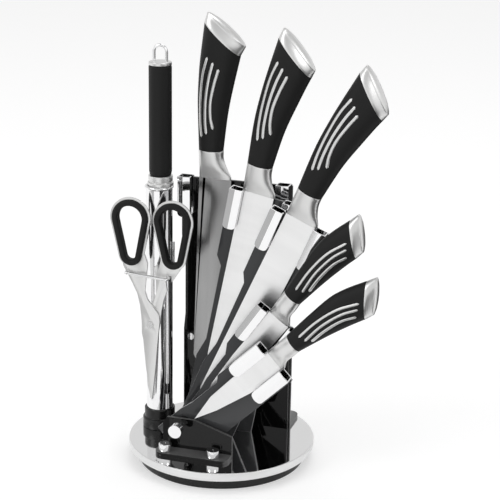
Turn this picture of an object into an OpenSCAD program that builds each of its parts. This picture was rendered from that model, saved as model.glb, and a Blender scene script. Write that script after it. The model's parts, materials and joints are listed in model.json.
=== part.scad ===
// Rotating fan stand with five knives, a sharpening steel and a pair of kitchen scissors.
// Millimetres, +Z up, front towards -Y. The origin is the centre of the resting face.

/* [Base] */
// Radius of the black base
base_r = 76; // [70:1:79]
// Height of the base wall
base_h = 11; // [9:0.5:11]
// Thickness of the base floor
base_floor = 5; // [4.5:0.5:6]
// Thickness of the base wall
base_wall = 4; // [3:0.5:6]
// Radius of the boss that carries the spindle
boss_r = 16; // [14:1:20]
// Top of the boss above the table
boss_top = 12; // [11:0.5:12.2]
// Radius of the counterbore under the boss
well_r = 12; // [10:0.5:13]
// Thickness of the rubber plug that closes the counterbore
plug_h = 1.2; // [1:0.1:1.6]
// Number of rubber pads
pad_count = 4; // [3:1:6]
// Radius of a rubber pad
pad_r = 6; // [4:0.5:8]
// Depth of a rubber pad in its pocket
pad_h = 1.5; // [1:0.1:2]
// Distance of the pads from the centre
pad_pitch_r = 62; // [50:1:64]
// Inner radius of the glide ring
glide_in_r = 46; // [40:1:50]
// Width of the glide ring
glide_w = 6; // [4:0.5:8]
// Height of the glide ring
glide_h = 3.6; // [3:0.1:4]

/* [Turntable] */
// Radius of the polished deck
deck_r = 85; // [82:1:90]
// Height of the deck's top face above the table
deck_top = 19; // [18.5:0.5:21]
// Sheet thickness of the deck
deck_t = 1.5; // [1.2:0.1:2]
// Height of the deck's rim
rim_h = 8; // [6:0.5:8]
// Radius on the deck's top edge
deck_edge_r = 1.2; // [0.5:0.1:1.4]
// Radius of the hub under the deck
hub_r = 9; // [7:0.5:12]
// Radius of the spindle
spindle_r = 4; // [3:0.5:5]
// Radial running clearance of the spindle in its boss
spindle_gap = 0.05; // [0.02:0.01:0.1]
// Axial clearance between turning and fixed faces
thrust_gap = 0.1; // [0.05:0.05:0.3]
// Outer radius of the retaining clip
clip_r = 7; // [6:0.5:9]
// Thickness of the retaining clip
clip_t = 1.2; // [1:0.1:1.5]
// Depth of the clip's groove
clip_groove = 0.8; // [0.5:0.1:1]

/* [Holder leaves] */
// Thickness of a leaf
leaf_t = 3; // [2.5:0.5:4]
// Gap between two neighbouring leaves
leaf_gap = 15; // [14.5:0.5:16]
// Back face of the rearmost leaf
leaf_back_y = 34; // [32:0.5:34]
// Sideways place of the fan's centre
fan_x = -26; // [-30:1:-22]
// Height of the fan's centre above the deck
fan_z = 15; // [12:0.5:18]
// Tilts of the five leaves
leaf_tilt = [0, 10.7, 22.7, 34.7, 46.2];
// Top ends of the five leaves, from the fan's centre
leaf_top = [219, 220, 221, 142, 119];
// Foot ends of the five leaves, from the fan's centre
leaf_foot = [-15, -15, -14, -14, -14];
// Right edges of the five leaves
leaf_right = [79.9, 52, 40.5, 30, 25.5];
// Left edges beside the guides
leaf_left = [-24, -13, -13.6, -17, -19];
// Left edges at the waist
leaf_waist = [-20.5, -7.5, -9, -12, -14.5];
// Left edges at the hip below the waist
leaf_hip = [-22, -13.5, -13.2, -10.3, -16.5];
// Upper end of the waist's shoulder
leaf_shoulder = [163, 154, 153, 91, 67];
// Height of the shoulder's and the hip's slope
leaf_slope = [6, 9, 9, 10, 5];
// Lower end of the waist
leaf_waist_foot = [88, 72, 78, 50, 30];
// Length of the slope from the waist out to the hip
leaf_hip_slope = [15, 18, 21, 12, 14];

/* [Blade guides] */
// Width of a guide across the leaf
guide_w = 12.3; // [11:0.1:13]
// Depth of a guide off the leaf's face
guide_d = 12; // [10:0.5:12]
// Wall of a guide
guide_wall = 1.2; // [1:0.1:1.6]
// Width of the slot that the blade runs in
guide_slot = 4.6; // [4:0.1:6]
// Radius of a guide's lower corners
guide_corner_r = 4; // [2:0.5:5]
// Length of a guide on each leaf
guide_len = [37.5, 37, 39, 36.5, 36];
// Top end of the guides on each leaf
guide_top = [221.5, 222.3, 223.5, 144.3, 121];
// Left side of each left guide
guide_left_u = [-24.5, -10.7, -13.4, -17.2, -19.5];
// Left side of each right guide
guide_right_u = [67.6, 39, 28.2, 17.8, 11];

/* [Brackets and bolt] */
// Thickness of the bent brackets
bracket_t = 3; // [2.5:0.5:3]
// Height of the rear bracket above the deck
rear_h = 100; // [80:1:110]
// Left and right end of the rear bracket
rear_x = [-47.5, 55.5];
// Depth of the rear bracket's foot
rear_foot = 31; // [26:1:32]
// Left and right end of the front bracket's plate
front_x = [-40, 25];
// Left and right end of the front bracket's foot
front_foot_x = [-43.7, 25];
// Height of the front bracket's left part above the deck
front_h = 31.5; // [28:0.5:31.5]
// Height of the front bracket's right end above the deck
front_low_h = 20; // [14:0.5:24]
// Where the front bracket's top edge starts to fall
front_knee_x = -11; // [-14:1:-8]
// Depth of the front bracket's foot
front_foot = 16; // [14:1:18]
// Corner radius of the bracket feet
foot_corner_r = 8; // [4:1:12]
// Thickness of the washer between the front leaf and the front bracket
washer_t = 3; // [2:0.5:3]
// Sideways place of the fan bolt
bolt_x = -21.8; // [-23:0.2:-19]
// Height of the fan bolt above the deck
bolt_z = 27; // [25:0.5:27]
// Radius of the fan bolt
bolt_r = 2; // [1.5:0.5:2.5]
// Clearance around the fan bolt
bolt_gap = 0.1; // [0.05:0.05:0.3]
// Radius of the spacers on the bolt
spacer_r = 5; // [4:0.5:5.5]
// Length of bolt that stands out in front of its bracket
bolt_stand = 13; // [8:1:16]
// Radius of the round cap in front
bolt_cap_r = 6; // [5:0.5:7]
// Length of the round cap in front
bolt_cap_l = 7; // [5:0.5:9]
// Radius of the cap nut behind
cap_nut_r = 5; // [4:0.5:6]
// Radius of a deck stud
stud_r = 5.75; // [4:0.25:6]
// Height of a deck stud
stud_h = 7; // [5:0.5:9]
// Distance from a front stud's edge to the edge of its foot
stud_margin = 1; // [1:0.5:2]
// Distance from a rear stud's edge to the edge of its foot
rear_stud_margin = 8; // [4:1:10]
// Sideways places of the front studs
front_stud_x = [-34.6, 10.4];
// Sideways places of the rear studs
rear_stud_x = [-30, 38];
// Radius of a panel screw's head
screw_head_r = 3.2; // [2.5:0.1:4]
// Height of a panel screw's head
screw_head_h = 2; // [1:0.1:3]
// Sideways places of the panel screws
screw_x = [-40.5, 48];
// Height of the panel screws above the deck
screw_z = 81; // [60:1:88]

/* [Steel tube] */
// Right-hand side of the socket that holds the tube
socket_side_x = -46.1; // [-46.5:0.1:-45.5]
// Gap between the tube's rim and the grips of the scissors in front of it
grip_gap = 0.3; // [0.3:0.1:1]
// Outer radius of the tube
tube_r = 12.1; // [10:0.1:14.5]
// Wall of the tube
tube_wall = 1.2; // [1:0.1:1.5]
// Top of the tube above the deck
tube_top = 232; // [228:1:236]
// How far the rolled rim stands out from the tube
tube_rim_out = 1.1; // [0.5:0.1:1.2]
// Height of the rolled rim
tube_rim_h = 3.2; // [2:0.1:4]
// Wall of the socket's lower step
socket_wall = 3.5; // [2.5:0.1:3.5]
// Wall of the socket's upper step
socket_neck_wall = 1.9; // [1.4:0.1:2.4]
// Height of one step of the socket
socket_step_h = 9.5; // [8:0.5:11]
// Floor of the socket under the tube
socket_floor = 3; // [2:0.5:4]

/* [Sharpening steel] */
// Radius of the rod
rod_r = 4.5; // [4:0.25:6]
// Length of the rod below its bolster
rod_l = 200; // [150:5:205]
// How far the bolster's edge stays inside the tube's outer wall
bolster_inset = 0.5; // [0.2:0.1:0.6]
// Height of the bolster
steel_bolster_h = 9; // [6:0.5:12]
// Gap between the bolster and the tube's rim
steel_rest_gap = 0.1; // [0.05:0.05:0.3]
// How far the steel stands to the right, because its rod is loose in the tube
steel_off = 1.5; // [0:0.1:1.5]
// Radius of the handle
steel_handle_r = 10.2; // [9:0.1:11]
// Length of the handle
steel_handle_l = 99; // [80:1:110]
// Radius of the tang inside the handle
steel_tang_r = 3; // [2:0.5:4]
// Height of the end cap
steel_cap_h = 3; // [2:0.5:5]
// Outer width of the hanging loop
loop_w = 14.4; // [12:0.2:16]
// Radius of the loop's wire
loop_wire_r = 1.4; // [1:0.1:1.6]
// Length of the loop's straight legs
loop_leg = 8.5; // [4:0.5:10]

/* [Scissors] */
// Sideways place of the rivet
rivet_x = -63.1; // [-63.5:0.1:-62.7]
// Height of the rivet above the deck
rivet_z = 106; // [105.5:0.5:107]
// Lean of the hanging scissors to the left
scissor_lean = 0.8; // [0.6:0.1:1]
// Plane between the two halves
scissor_y = -16; // [-16.5:0.1:-15.8]
// Thickness of a half
scissor_t = 2; // [1.6:0.1:2.2]
// Gap between the two halves
scissor_gap = 0.1; // [0.05:0.05:0.2]
// Radius of the rivet
rivet_r = 2.5; // [2:0.1:3]
// Running clearance on the rivet
rivet_gap = 0.05; // [0.02:0.01:0.1]
// Radius of the rivet's heads
rivet_head_r = 3.4; // [3:0.1:4]
// Height of the rivet's heads
rivet_head_h = 0.9; // [0.6:0.1:1.2]
// Outer radius of a handle loop
loop_r = 19.1; // [18.6:0.1:19.2]
// Outer radius at a loop's narrow end
loop_foot_r = 12; // [11.5:0.1:12.5]
// Outer radius of the soft grip
grip_r = 17.2; // [16.5:0.1:17.4]
// Outer radius at the grip's narrow end
grip_foot_r = 10.3; // [9.8:0.1:10.6]
// Radius of a finger hole
hole_r = 11.4; // [10:0.1:12]
// Radius at a finger hole's narrow end
hole_foot_r = 4.6; // [4:0.1:5]
// Distance between the centres of the wide and the narrow end
loop_span = 33.5; // [32:0.5:34]
// Thickness of the soft grips
grip_t = 9; // [7:0.5:9]
// Depth of the groove that holds a grip on its loop
grip_groove = 2.6; // [2:0.1:3]
// Centres of the two loops, sideways from the rivet and up from it
left_loop = [-16.8, 98.8];
// Centre of the right loop
right_loop = [22.5, 97.9];

/* [Scissor hook] */
// Radius of the hook's wire
hook_r = 1.4; // [1:0.1:1.5]
// Clearance between the hook and the scissors that hang on it
hook_gap = 0.2; // [0.1:0.05:0.3]
// Height of the hook's bar above the deck
hook_z = 152; // [151.4:0.2:152.6]
// Depth of the front bar
hook_y = -22.4; // [-23:0.1:-22.3]
// Free end of the front bar
hook_end_x = -84; // [-86:0.5:-80]
// How much higher the free end is than the bend
hook_rise = 2.5; // [1:0.5:4]
// Radius of the ball on the free end
hook_ball_r = 2; // [1.6:0.1:2.4]
// Sideways place of the arm
hook_arm_x = -45.4; // [-45.6:0.1:-45.2]
// Top of the leg welded to the tube, above the deck
hook_leg_top = 180; // [170:1:190]

/* [Knives] */
// Heel points of chef, carving, bread, utility and paring knife, sideways
heel_x = [-31.5, 15.2, 60.7, 52.2, 56.2];
// Heights of the heel points above the deck
heel_z = [235.9, 233.1, 221.4, 136, 105.4];
// Tilts of the knives
knife_tilt = [1.6, 11.3, 24.3, 37.2, 48.7];
// Blade lengths
blade_l = [198, 200, 200, 123, 97.5];
// Blade widths at the heel
blade_w = [30, 29, 29, 21.5, 21];
// Thickness of a blade
blade_t = 2; // [1.5:0.1:2.5]
// Blade's distance in front of its leaf
blade_off = 5; // [4:0.5:6]
// Clearance around a tang
tang_gap = 0.15; // [0.1:0.05:0.3]
// Thickness of a large handle
large_t = 22; // [18:0.5:23]
// Thickness of a small handle
small_t = 18.5; // [15:0.5:19]
// Thickness of a bolster where the blade leaves it
bolster_lip_t = 3; // [2.6:0.2:4]

/* [Hidden] */
$fn = 96;
cut = 0.5;                                   // how far cutting bodies run past a face
sizes = ["chef", "carving", "bread", "utility", "paring"];
guide_foot_fn = 48;
leaf_pitch = leaf_t + leaf_gap;
front_y = leaf_back_y - 4 * leaf_pitch - leaf_t - washer_t;   // back of the front bracket
rear_y = leaf_back_y;                        // front of the rear bracket
front_stud_y = front_y - bracket_t - front_foot + stud_r + stud_margin;
rear_stud_y = rear_y + bracket_t + rear_foot - stud_r - rear_stud_margin;
plate_under = deck_top - deck_t;             // underside of the deck's sheet
glide_top = plate_under - thrust_gap;
glide_floor = glide_top - glide_h;
hub_foot = boss_top + thrust_gap;
clip_z = base_floor - thrust_gap - clip_t;
spindle_foot = clip_z - 0.6;
socket_top = deck_top + 2 * socket_step_h;
tube_foot = deck_top + socket_floor;
rest_z = deck_top + tube_top + steel_rest_gap;
handle_z = rest_z + steel_bolster_h;
cap_z = handle_z + steel_handle_l;
loop_z = cap_z + steel_cap_h;
rivet_at = [rivet_x, deck_top + rivet_z];
socket_r = tube_r + socket_wall;
socket_neck_r = tube_r + socket_neck_wall;
tube_rim_r = tube_r + tube_rim_out;
steel_bolster_r = tube_r - bolster_inset;
tube_x = socket_side_x - socket_r;
tube_y = scissor_y + (scissor_t + grip_t) / 2 + grip_gap + tube_rim_r;
steel_x = tube_x + steel_off;
half_front = scissor_y - scissor_gap;        // rear face of the front half

function leaf_front(i) = leaf_back_y - i * leaf_pitch - leaf_t;
function blade_y(i) = leaf_front(i) - blade_off;
function is_large(i) = i < 3;

// ---- shared shapes ----

// A flat shape drawn in X and Z, made thick in Y, its middle on y
module upright(y, thick) {
  translate([0, y + thick / 2, 0]) rotate([90, 0, 0]) linear_extrude(thick) children();
}

// A cylinder along Y from y0 (rear) to y1 (front)
module rod_y(x, z, r, y0, y1) {
  translate([x, y0, z]) rotate([90, 0, 0]) cylinder(r = r, h = y0 - y1);
}

// An egg outline: a wide round end at the origin and a narrow one below it
module egg(wide_r, narrow_r) {
  lean = asin((wide_r - narrow_r) / loop_span);
  wide = wide_r * [cos(lean), -sin(lean)];
  narrow = narrow_r * [cos(lean), -sin(lean)] - [0, loop_span];
  circle(wide_r);
  translate([0, -loop_span]) circle(narrow_r);
  polygon([wide, narrow, [-narrow[0], narrow[1]], [-wide[0], wide[1]]]);
}

// Everything above the deck's top face
module above_deck() {
  intersection() {
    children();
    translate([-200, -200, deck_top]) cube([400, 400, 400]);
  }
}

// ---- base ----

module base_shell() {
  color("#151515") difference() {
    union() {
      difference() {
        cylinder(r = base_r, h = base_h);
        translate([0, 0, base_floor]) cylinder(r = base_r - base_wall, h = base_h);
      }
      cylinder(r = boss_r, h = boss_top);
      difference() {
        cylinder(r = glide_in_r + glide_w + 2, h = glide_floor);
        translate([0, 0, -cut]) cylinder(r = glide_in_r - 2, h = glide_floor + 2 * cut);
      }
      cylinder(r = glide_in_r, h = base_floor);
    }
    translate([0, 0, -cut]) cylinder(r = well_r, h = base_floor + cut);
    translate([0, 0, -cut]) cylinder(r = spindle_r + spindle_gap, h = boss_top + 2 * cut);
    for (i = [0 : pad_count - 1]) rotate([0, 0, 45 + i * 360 / pad_count])
      translate([pad_pitch_r, 0, -cut]) cylinder(r = pad_r, h = pad_h + cut);
  }
}

module base_pads() {
  color("#303030") for (i = [0 : pad_count - 1]) rotate([0, 0, 45 + i * 360 / pad_count])
    translate([pad_pitch_r, 0, 0]) cylinder(r = pad_r, h = pad_h);
}

module base_plug() {
  color("#303030") cylinder(r = well_r, h = plug_h);
}

module glide_ring() {
  color("#e8e8e0") translate([0, 0, glide_floor]) difference() {
    cylinder(r = glide_in_r + glide_w, h = glide_h);
    translate([0, 0, -cut]) cylinder(r = glide_in_r, h = glide_h + 2 * cut);
  }
}

// ---- turntable ----

module spindle() {
  color("#c0c0c0") difference() {
    translate([0, 0, spindle_foot]) cylinder(r = spindle_r, h = plate_under - spindle_foot);
    translate([0, 0, clip_z]) difference() {
      cylinder(r = spindle_r + cut, h = clip_t);
      translate([0, 0, -cut]) cylinder(r = spindle_r - clip_groove, h = clip_t + 2 * cut);
    }
  }
}

module retaining_clip() {
  color("#808080") translate([0, 0, clip_z]) difference() {
    cylinder(r = clip_r, h = clip_t);
    translate([0, 0, -cut]) cylinder(r = spindle_r - clip_groove, h = clip_t + 2 * cut);
  }
}

module deck() {
  color("#e6e6e6") {
    rotate_extrude($fn = 128) union() {
      translate([0, plate_under]) square([deck_r - deck_edge_r, deck_t]);
      translate([deck_r - deck_t, deck_top - rim_h]) square([deck_t, rim_h - deck_edge_r]);
      translate([deck_r - deck_edge_r, deck_top - deck_edge_r]) intersection() {
        circle(deck_edge_r, $fn = 32);
        square(deck_edge_r);
      }
    }
    translate([0, 0, hub_foot]) difference() {
      cylinder(r = hub_r, h = plate_under - hub_foot);
      translate([0, 0, -cut]) cylinder(r = spindle_r, h = plate_under - hub_foot + cut);
    }
  }
}

// One leaf: straight sides with a waist, tilted about the fan's centre and cut at the deck
module leaf(i) {
  color(i == 0 ? "#0d0d0d" : "#26282b") difference() {
    above_deck() translate([fan_x, 0, deck_top + fan_z]) rotate([0, leaf_tilt[i], 0])
      upright(leaf_front(i) + leaf_t / 2, leaf_t) polygon([
        [leaf_right[i], leaf_top[i]],
        [leaf_left[i], leaf_top[i]],
        [leaf_left[i], leaf_shoulder[i]],
        [leaf_waist[i], leaf_shoulder[i] - leaf_slope[i]],
        [leaf_waist[i], leaf_waist_foot[i]],
        [leaf_hip[i], leaf_waist_foot[i] - leaf_hip_slope[i]],
        [leaf_hip[i], leaf_foot[i]],
        [leaf_right[i], leaf_foot[i]]]);
    rod_y(bolt_x, deck_top + bolt_z, bolt_r + bolt_gap, rear_y + 20, front_y - 20);
    if (i == 0) for (x = screw_x)
      rod_y(x, deck_top + screw_z, bolt_r + bolt_gap, rear_y + 20, leaf_front(0) - cut);
  }
}

// One guide channel: open on top and along the side that faces the blade
module guide(i, left_u, open_side) {
  y = leaf_front(i) - guide_d / 2;
  slot_u = open_side > 0 ? left_u + guide_w - guide_wall - cut : left_u - cut;
  difference() {
    upright(y, guide_d) translate([left_u, guide_top[i] - guide_len[i]]) union() {
      translate([0, guide_corner_r]) square([guide_w, guide_len[i] - guide_corner_r]);
      translate([guide_corner_r, 0]) square([guide_w - 2 * guide_corner_r, guide_len[i]]);
      for (u = [guide_corner_r, guide_w - guide_corner_r])
        translate([u, guide_corner_r]) circle(guide_corner_r, $fn = guide_foot_fn);
    }
    translate([left_u + guide_wall, y - guide_d / 2 + guide_wall, guide_top[i] - guide_len[i] - cut])
      cube([guide_w - 2 * guide_wall, guide_d - 2 * guide_wall, guide_len[i] + 2 * cut]);
    translate([slot_u, blade_y(i) - guide_slot / 2, guide_top[i] - guide_len[i] - cut])
      cube([guide_wall + 2 * cut, guide_slot, guide_len[i] + 2 * cut]);
  }
}

module leaf_guides(i) {
  color("#f2f2f2") translate([fan_x, 0, deck_top + fan_z]) rotate([0, leaf_tilt[i], 0]) {
    guide(i, guide_left_u[i], 1);
    guide(i, guide_right_u[i], -1);
  }
}

// Upright plate of a bracket with its screw holes
module rear_bracket() {
  waist_z = leaf_waist_foot[0] + fan_z;
  hip_z = waist_z - leaf_hip_slope[0];
  color("#0d0d0d") difference() {
    union() {
      upright(rear_y + bracket_t / 2, bracket_t) translate([0, deck_top]) polygon([
        [rear_x[0], 0], [rear_x[1], 0], [rear_x[1], rear_h],
        [fan_x + leaf_waist[0] - 1, rear_h],
        [fan_x + leaf_waist[0] - 1, min(waist_z, rear_h)], [rear_x[0], hip_z]]);
      translate([0, 0, deck_top]) linear_extrude(bracket_t) foot_outline(rear_x, rear_y + bracket_t, rear_foot);
    }
    rod_y(bolt_x, deck_top + bolt_z, bolt_r + bolt_gap, rear_y + 20, rear_y - cut);
    for (x = screw_x) rod_y(x, deck_top + screw_z, bolt_r + bolt_gap, rear_y + 20, rear_y - cut);
    for (x = rear_stud_x) stud_hole(x, rear_stud_y);
  }
}

// A foot: straight at its plate, with two round corners at the far side
module foot_outline(span_x, y, depth) {
  r = foot_corner_r;
  s = sign(depth);
  far = y + depth - s * r;
  translate([span_x[0], min(y, far)]) square([span_x[1] - span_x[0], abs(far - y)]);
  translate([span_x[0] + r, min(y, y + depth)]) square([span_x[1] - span_x[0] - 2 * r, abs(depth)]);
  for (x = [span_x[0] + r, span_x[1] - r]) translate([x, far]) circle(r);
}

module stud_hole(x, y) {
  translate([x, y, deck_top - cut]) cylinder(r = bolt_r + bolt_gap, h = bracket_t + 2 * cut);
}

module front_bracket() {
  color("#0d0d0d") difference() {
    union() {
      upright(front_y - bracket_t / 2, bracket_t) translate([0, deck_top]) polygon([
        [front_x[0], 0], [front_x[1], 0], [front_x[1], front_low_h],
        [front_knee_x, front_h], [front_x[0] + 4, front_h], [front_x[0], front_h - 6]]);
      translate([0, 0, deck_top]) linear_extrude(bracket_t)
        foot_outline(front_foot_x, front_y - bracket_t, -front_foot);
    }
    rod_y(bolt_x, deck_top + bolt_z, bolt_r + bolt_gap, front_y + cut, front_y - 20);
    for (x = front_stud_x) stud_hole(x, front_stud_y);
  }
}

module deck_studs() {
  color("#f2f2f2") for (at = concat([for (x = front_stud_x) [x, front_stud_y]],
                                    [for (x = rear_stud_x) [x, rear_stud_y]]))
    translate([at[0], at[1], deck_top]) {
      cylinder(r = bolt_r, h = bracket_t);
      translate([0, 0, bracket_t]) cylinder(r = stud_r, h = stud_h);
    }
}

module panel_screws() {
  color("#d0d0d0") for (x = screw_x) {
    rod_y(x, deck_top + screw_z, screw_head_r, leaf_front(0), leaf_front(0) - screw_head_h);
    rod_y(x, deck_top + screw_z, bolt_r, rear_y + bracket_t, leaf_front(0));
  }
}

module fan_bolt() {
  color("#c8c8c8")
    rod_y(bolt_x, deck_top + bolt_z, bolt_r, rear_y + bracket_t + 5, front_y - bracket_t - bolt_stand - 4);
}

module bolt_caps() {
  z = deck_top + bolt_z;
  cap_y = front_y - bracket_t - bolt_stand;
  nut_y = rear_y + bracket_t;
  color("#f2f2f2") {
    difference() {
      rod_y(bolt_x, z, bolt_cap_r, cap_y, cap_y - bolt_cap_l);
      rod_y(bolt_x, z, bolt_r, cap_y + cut, cap_y - 4);
    }
    difference() {
      rod_y(bolt_x, z, cap_nut_r, nut_y + 7, nut_y);
      rod_y(bolt_x, z, bolt_r, nut_y + 5, nut_y - cut);
    }
  }
}

module leaf_spacers() {
  color("#1a1a1a") difference() {
    union() {
      for (i = [0 : 3]) rod_y(bolt_x, deck_top + bolt_z, spacer_r, leaf_front(i), leaf_front(i) - leaf_gap);
      rod_y(bolt_x, deck_top + bolt_z, spacer_r, leaf_front(4), front_y);
    }
    rod_y(bolt_x, deck_top + bolt_z, bolt_r + bolt_gap, rear_y + 20, front_y - 20);
  }
}

// ---- tube and hook ----

module tube_socket() {
  color("#101010") translate([tube_x, tube_y, deck_top]) difference() {
    union() {
      cylinder(r = socket_r, h = socket_step_h);
      cylinder(r = socket_neck_r, h = 2 * socket_step_h);
    }
    translate([0, 0, socket_floor]) cylinder(r = tube_r, h = 2 * socket_step_h);
  }
}

module steel_tube() {
  top = deck_top + tube_top;
  color("#dcdcdc") translate([tube_x, tube_y, 0]) difference() {
    union() {
      translate([0, 0, tube_foot]) cylinder(r = tube_r, h = top - tube_foot);
      translate([0, 0, top - tube_rim_h]) cylinder(r = tube_rim_r, h = tube_rim_h);
    }
    translate([0, 0, tube_foot - cut]) cylinder(r = tube_r - tube_wall, h = tube_top + 2 * cut);
  }
}

// Bent wire: a ball-ended bar in front, an arm to the rear and a leg welded to the tube
module scissor_hook() {
  z = deck_top + hook_z;
  leg_x = tube_x + tube_r + hook_r;
  bar_l = norm([hook_arm_x - hook_end_x, hook_rise]);
  bar_turn = -90 + asin(hook_rise / bar_l);
  color("#e6e6e6") {
    translate([hook_arm_x, hook_y, z]) {
      rotate([0, bar_turn, 0]) {
        cylinder(r = hook_r, h = bar_l);
        translate([0, 0, bar_l]) sphere(hook_ball_r, $fn = 32);
      }
      sphere(hook_r, $fn = 32);
    }
    rod_y(hook_arm_x, z, hook_r, tube_y, hook_y);
    translate([hook_arm_x, tube_y, z]) sphere(hook_r, $fn = 32);
    translate([leg_x, tube_y, z]) rotate([0, 90, 0]) cylinder(r = hook_r, h = hook_arm_x - leg_x);
    translate([leg_x, tube_y, z]) sphere(hook_r, $fn = 32);
    translate([leg_x, tube_y, z]) cylinder(r = hook_r, h = hook_leg_top - hook_z);
  }
}

// ---- sharpening steel ----

module steel_rod() {
  color("#b8b8b8") translate([steel_x, tube_y, 0]) {
    translate([0, 0, rest_z - rod_l]) cylinder(r = rod_r, h = rod_l);
    translate([0, 0, rest_z]) cylinder(r = steel_tang_r, h = cap_z - rest_z);
  }
}

module steel_bolster() {
  color("#dadada") translate([steel_x, tube_y, rest_z]) difference() {
    cylinder(r = steel_bolster_r, h = steel_bolster_h);
    translate([0, 0, -cut]) cylinder(r = steel_tang_r, h = steel_bolster_h + 2 * cut);
  }
}

module steel_handle() {
  color("#1b1b1b") translate([steel_x, tube_y, handle_z]) difference() {
    cylinder(r = steel_handle_r, h = steel_handle_l);
    translate([0, 0, -cut]) cylinder(r = steel_tang_r, h = steel_handle_l + 2 * cut);
  }
}

module steel_cap() {
  color("#dadada") translate([steel_x, tube_y, cap_z]) cylinder(r = steel_handle_r, h = steel_cap_h);
}

// Hanging loop: two legs and a half ring
module steel_loop() {
  bend_r = loop_w / 2 - loop_wire_r;
  color("#e0e0e0") translate([steel_x, tube_y, loop_z]) {
    for (x = [-bend_r, bend_r]) translate([x, 0, 0]) cylinder(r = loop_wire_r, h = loop_leg, $fn = 32);
    translate([0, 0, loop_leg]) rotate([90, 0, 0]) rotate_extrude(angle = 180, $fn = 64)
      translate([bend_r, 0]) circle(loop_wire_r, $fn = 32);
  }
}

// ---- scissors, drawn from the rivet: sideways and up ----

module loop_plate(centre) {
  translate(centre) difference() {
    egg(loop_r, loop_foot_r);
    egg(grip_r - grip_groove, grip_foot_r - grip_groove);
  }
}

// A plate of the scissors, standing at y and as thick as given
module scissor_plate(y, thick) {
  upright(y, thick) translate(rivet_at) rotate(scissor_lean) children();
}

// A point beside the rivet, turned into the frame of the leaning scissors
function from_rivet(x, z) =
  [[cos(scissor_lean), sin(scissor_lean)], [-sin(scissor_lean), cos(scissor_lean)]]
  * [x - rivet_x, z - rivet_z];

// Rear half: right loop, shank with the hook's notch, and the blade behind
module scissor_half_right() {
  hook_at = from_rivet(hook_arm_x, hook_z);
  notch_x = hook_at[0];
  notch_z = hook_at[1] + hook_r + hook_gap;
  notch_w = hook_r + 4 * hook_gap;
  color("#cfcfcf") scissor_plate(scissor_y + scissor_t / 2, scissor_t) {
    loop_plate(right_loop);
    difference() {
      polygon([
        [-8.9, -10], [-6.6, -20], [-4.2, -60], [-1.8, -71.5], [0.2, -73], [0.8, -60], [5.5, -16],
        [9.3, 3], [10.3, 12.5], [12.6, 23.3], [16.2, 33.2], [notch_x - notch_w - 1, 41],
        [notch_x - notch_w, notch_z], [notch_x + notch_w, notch_z],
        [notch_x + notch_w + 0.2, 41.5], [28.8, 53.4], [33.4, 66], [12, 64], [4.6, 54], [5.8, 39.9],
        [5.6, 29], [1, 20.5], [-6, 14], [-8.7, 6]]);
      translate(right_loop) egg(grip_r, grip_foot_r);
      circle(rivet_r);
    }
  }
}

// Front half: left loop, shank and the blade in front
module scissor_half_left() {
  color("#dadada") scissor_plate(half_front - scissor_t / 2, scissor_t) {
    loop_plate(left_loop);
    difference() {
      polygon([
        [-8.3, 8], [-7.4, -8], [-4.9, -40], [-1.2, -71], [0.4, -73], [1.3, -68], [4.5, -41],
        [7.6, -10.5], [9.4, 4], [8.8, 9.5], [2.2, 18.5], [-1.9, 23.8], [-4.2, 31.2], [-3.3, 39.8],
        [-1.8, 51.3], [-1.2, 58], [-4, 66], [-26, 62], [-24.5, 53.8], [-16.7, 39.4], [-11.7, 28.8],
        [-9.3, 18]]);
      translate(left_loop) egg(grip_r, grip_foot_r);
      circle(rivet_r + rivet_gap);
    }
  }
}

// Soft grip that fills a loop and wraps over both of its faces
module grip(y, centre) {
  color("#222222") difference() {
    scissor_plate(y, grip_t) translate(centre) difference() {
      egg(grip_r, grip_foot_r);
      egg(hole_r, hole_foot_r);
    }
    scissor_plate(y, scissor_t) translate(centre) difference() {
      egg(grip_r + cut, grip_foot_r + cut);
      egg(grip_r - grip_groove, grip_foot_r - grip_groove);
    }
  }
}

module grip_right() { grip(scissor_y + scissor_t / 2, right_loop); }
module grip_left() { grip(half_front - scissor_t / 2, left_loop); }

// Rivet: shaft through both halves, one head in front and one behind
module scissor_rivet() {
  back = scissor_y + scissor_t;
  front = half_front - scissor_t - scissor_gap;
  color("#efefef") {
    rod_y(rivet_at[0], rivet_at[1], rivet_r, back, front);
    rod_y(rivet_at[0], rivet_at[1], rivet_head_r, back + rivet_head_h, back);
    rod_y(rivet_at[0], rivet_at[1], rivet_head_r, front, front - rivet_head_h);
  }
}

// ---- knives, each drawn from its heel point: across and along the blade ----

module knife_frame(i) {
  translate([heel_x[i], blade_y(i), deck_top + heel_z[i]]) rotate([0, knife_tilt[i], 0]) children();
}

function handle_t(i) = is_large(i) ? large_t : small_t;
// Stations of a handle along its length: [along, left edge, right edge]
function grip_rows(i) = is_large(i)
  ? [[26, -0.8, 21.8], [56, -2.5, 25], [70, -2.8, 27.5], [86, -2.2, 31.3], [105, -1, 35.5]]
  : [[24.5, -1.7, 16], [57, -5, 20.5], [79, -6.5, 23.5]];
// Where the pommel's slanted joint meets the left and the right edge
function joint_rows(i) = is_large(i) ? [[3.2, 141.5], [38.6, 114]] : [[1, 113.5], [26.5, 91.3]];
// The pommel's far corners
function pommel_rows(i) = is_large(i)
  ? [[5.8, 149.5], [18, 149], [31, 140], [39.4, 127], [39.9, 120]]
  : [[3.3, 121.6], [12, 119], [21.5, 110], [26.8, 101], [27, 95]];
function tang_end(i) = is_large(i) ? 112 : 88;
function tang_w(i) = is_large(i) ? 9 : 7;
function tang_x(i) = (grip_rows(i)[0][1] + grip_rows(i)[0][2]) / 2;
function grip_foot(i) = grip_rows(i)[0][0];

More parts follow.
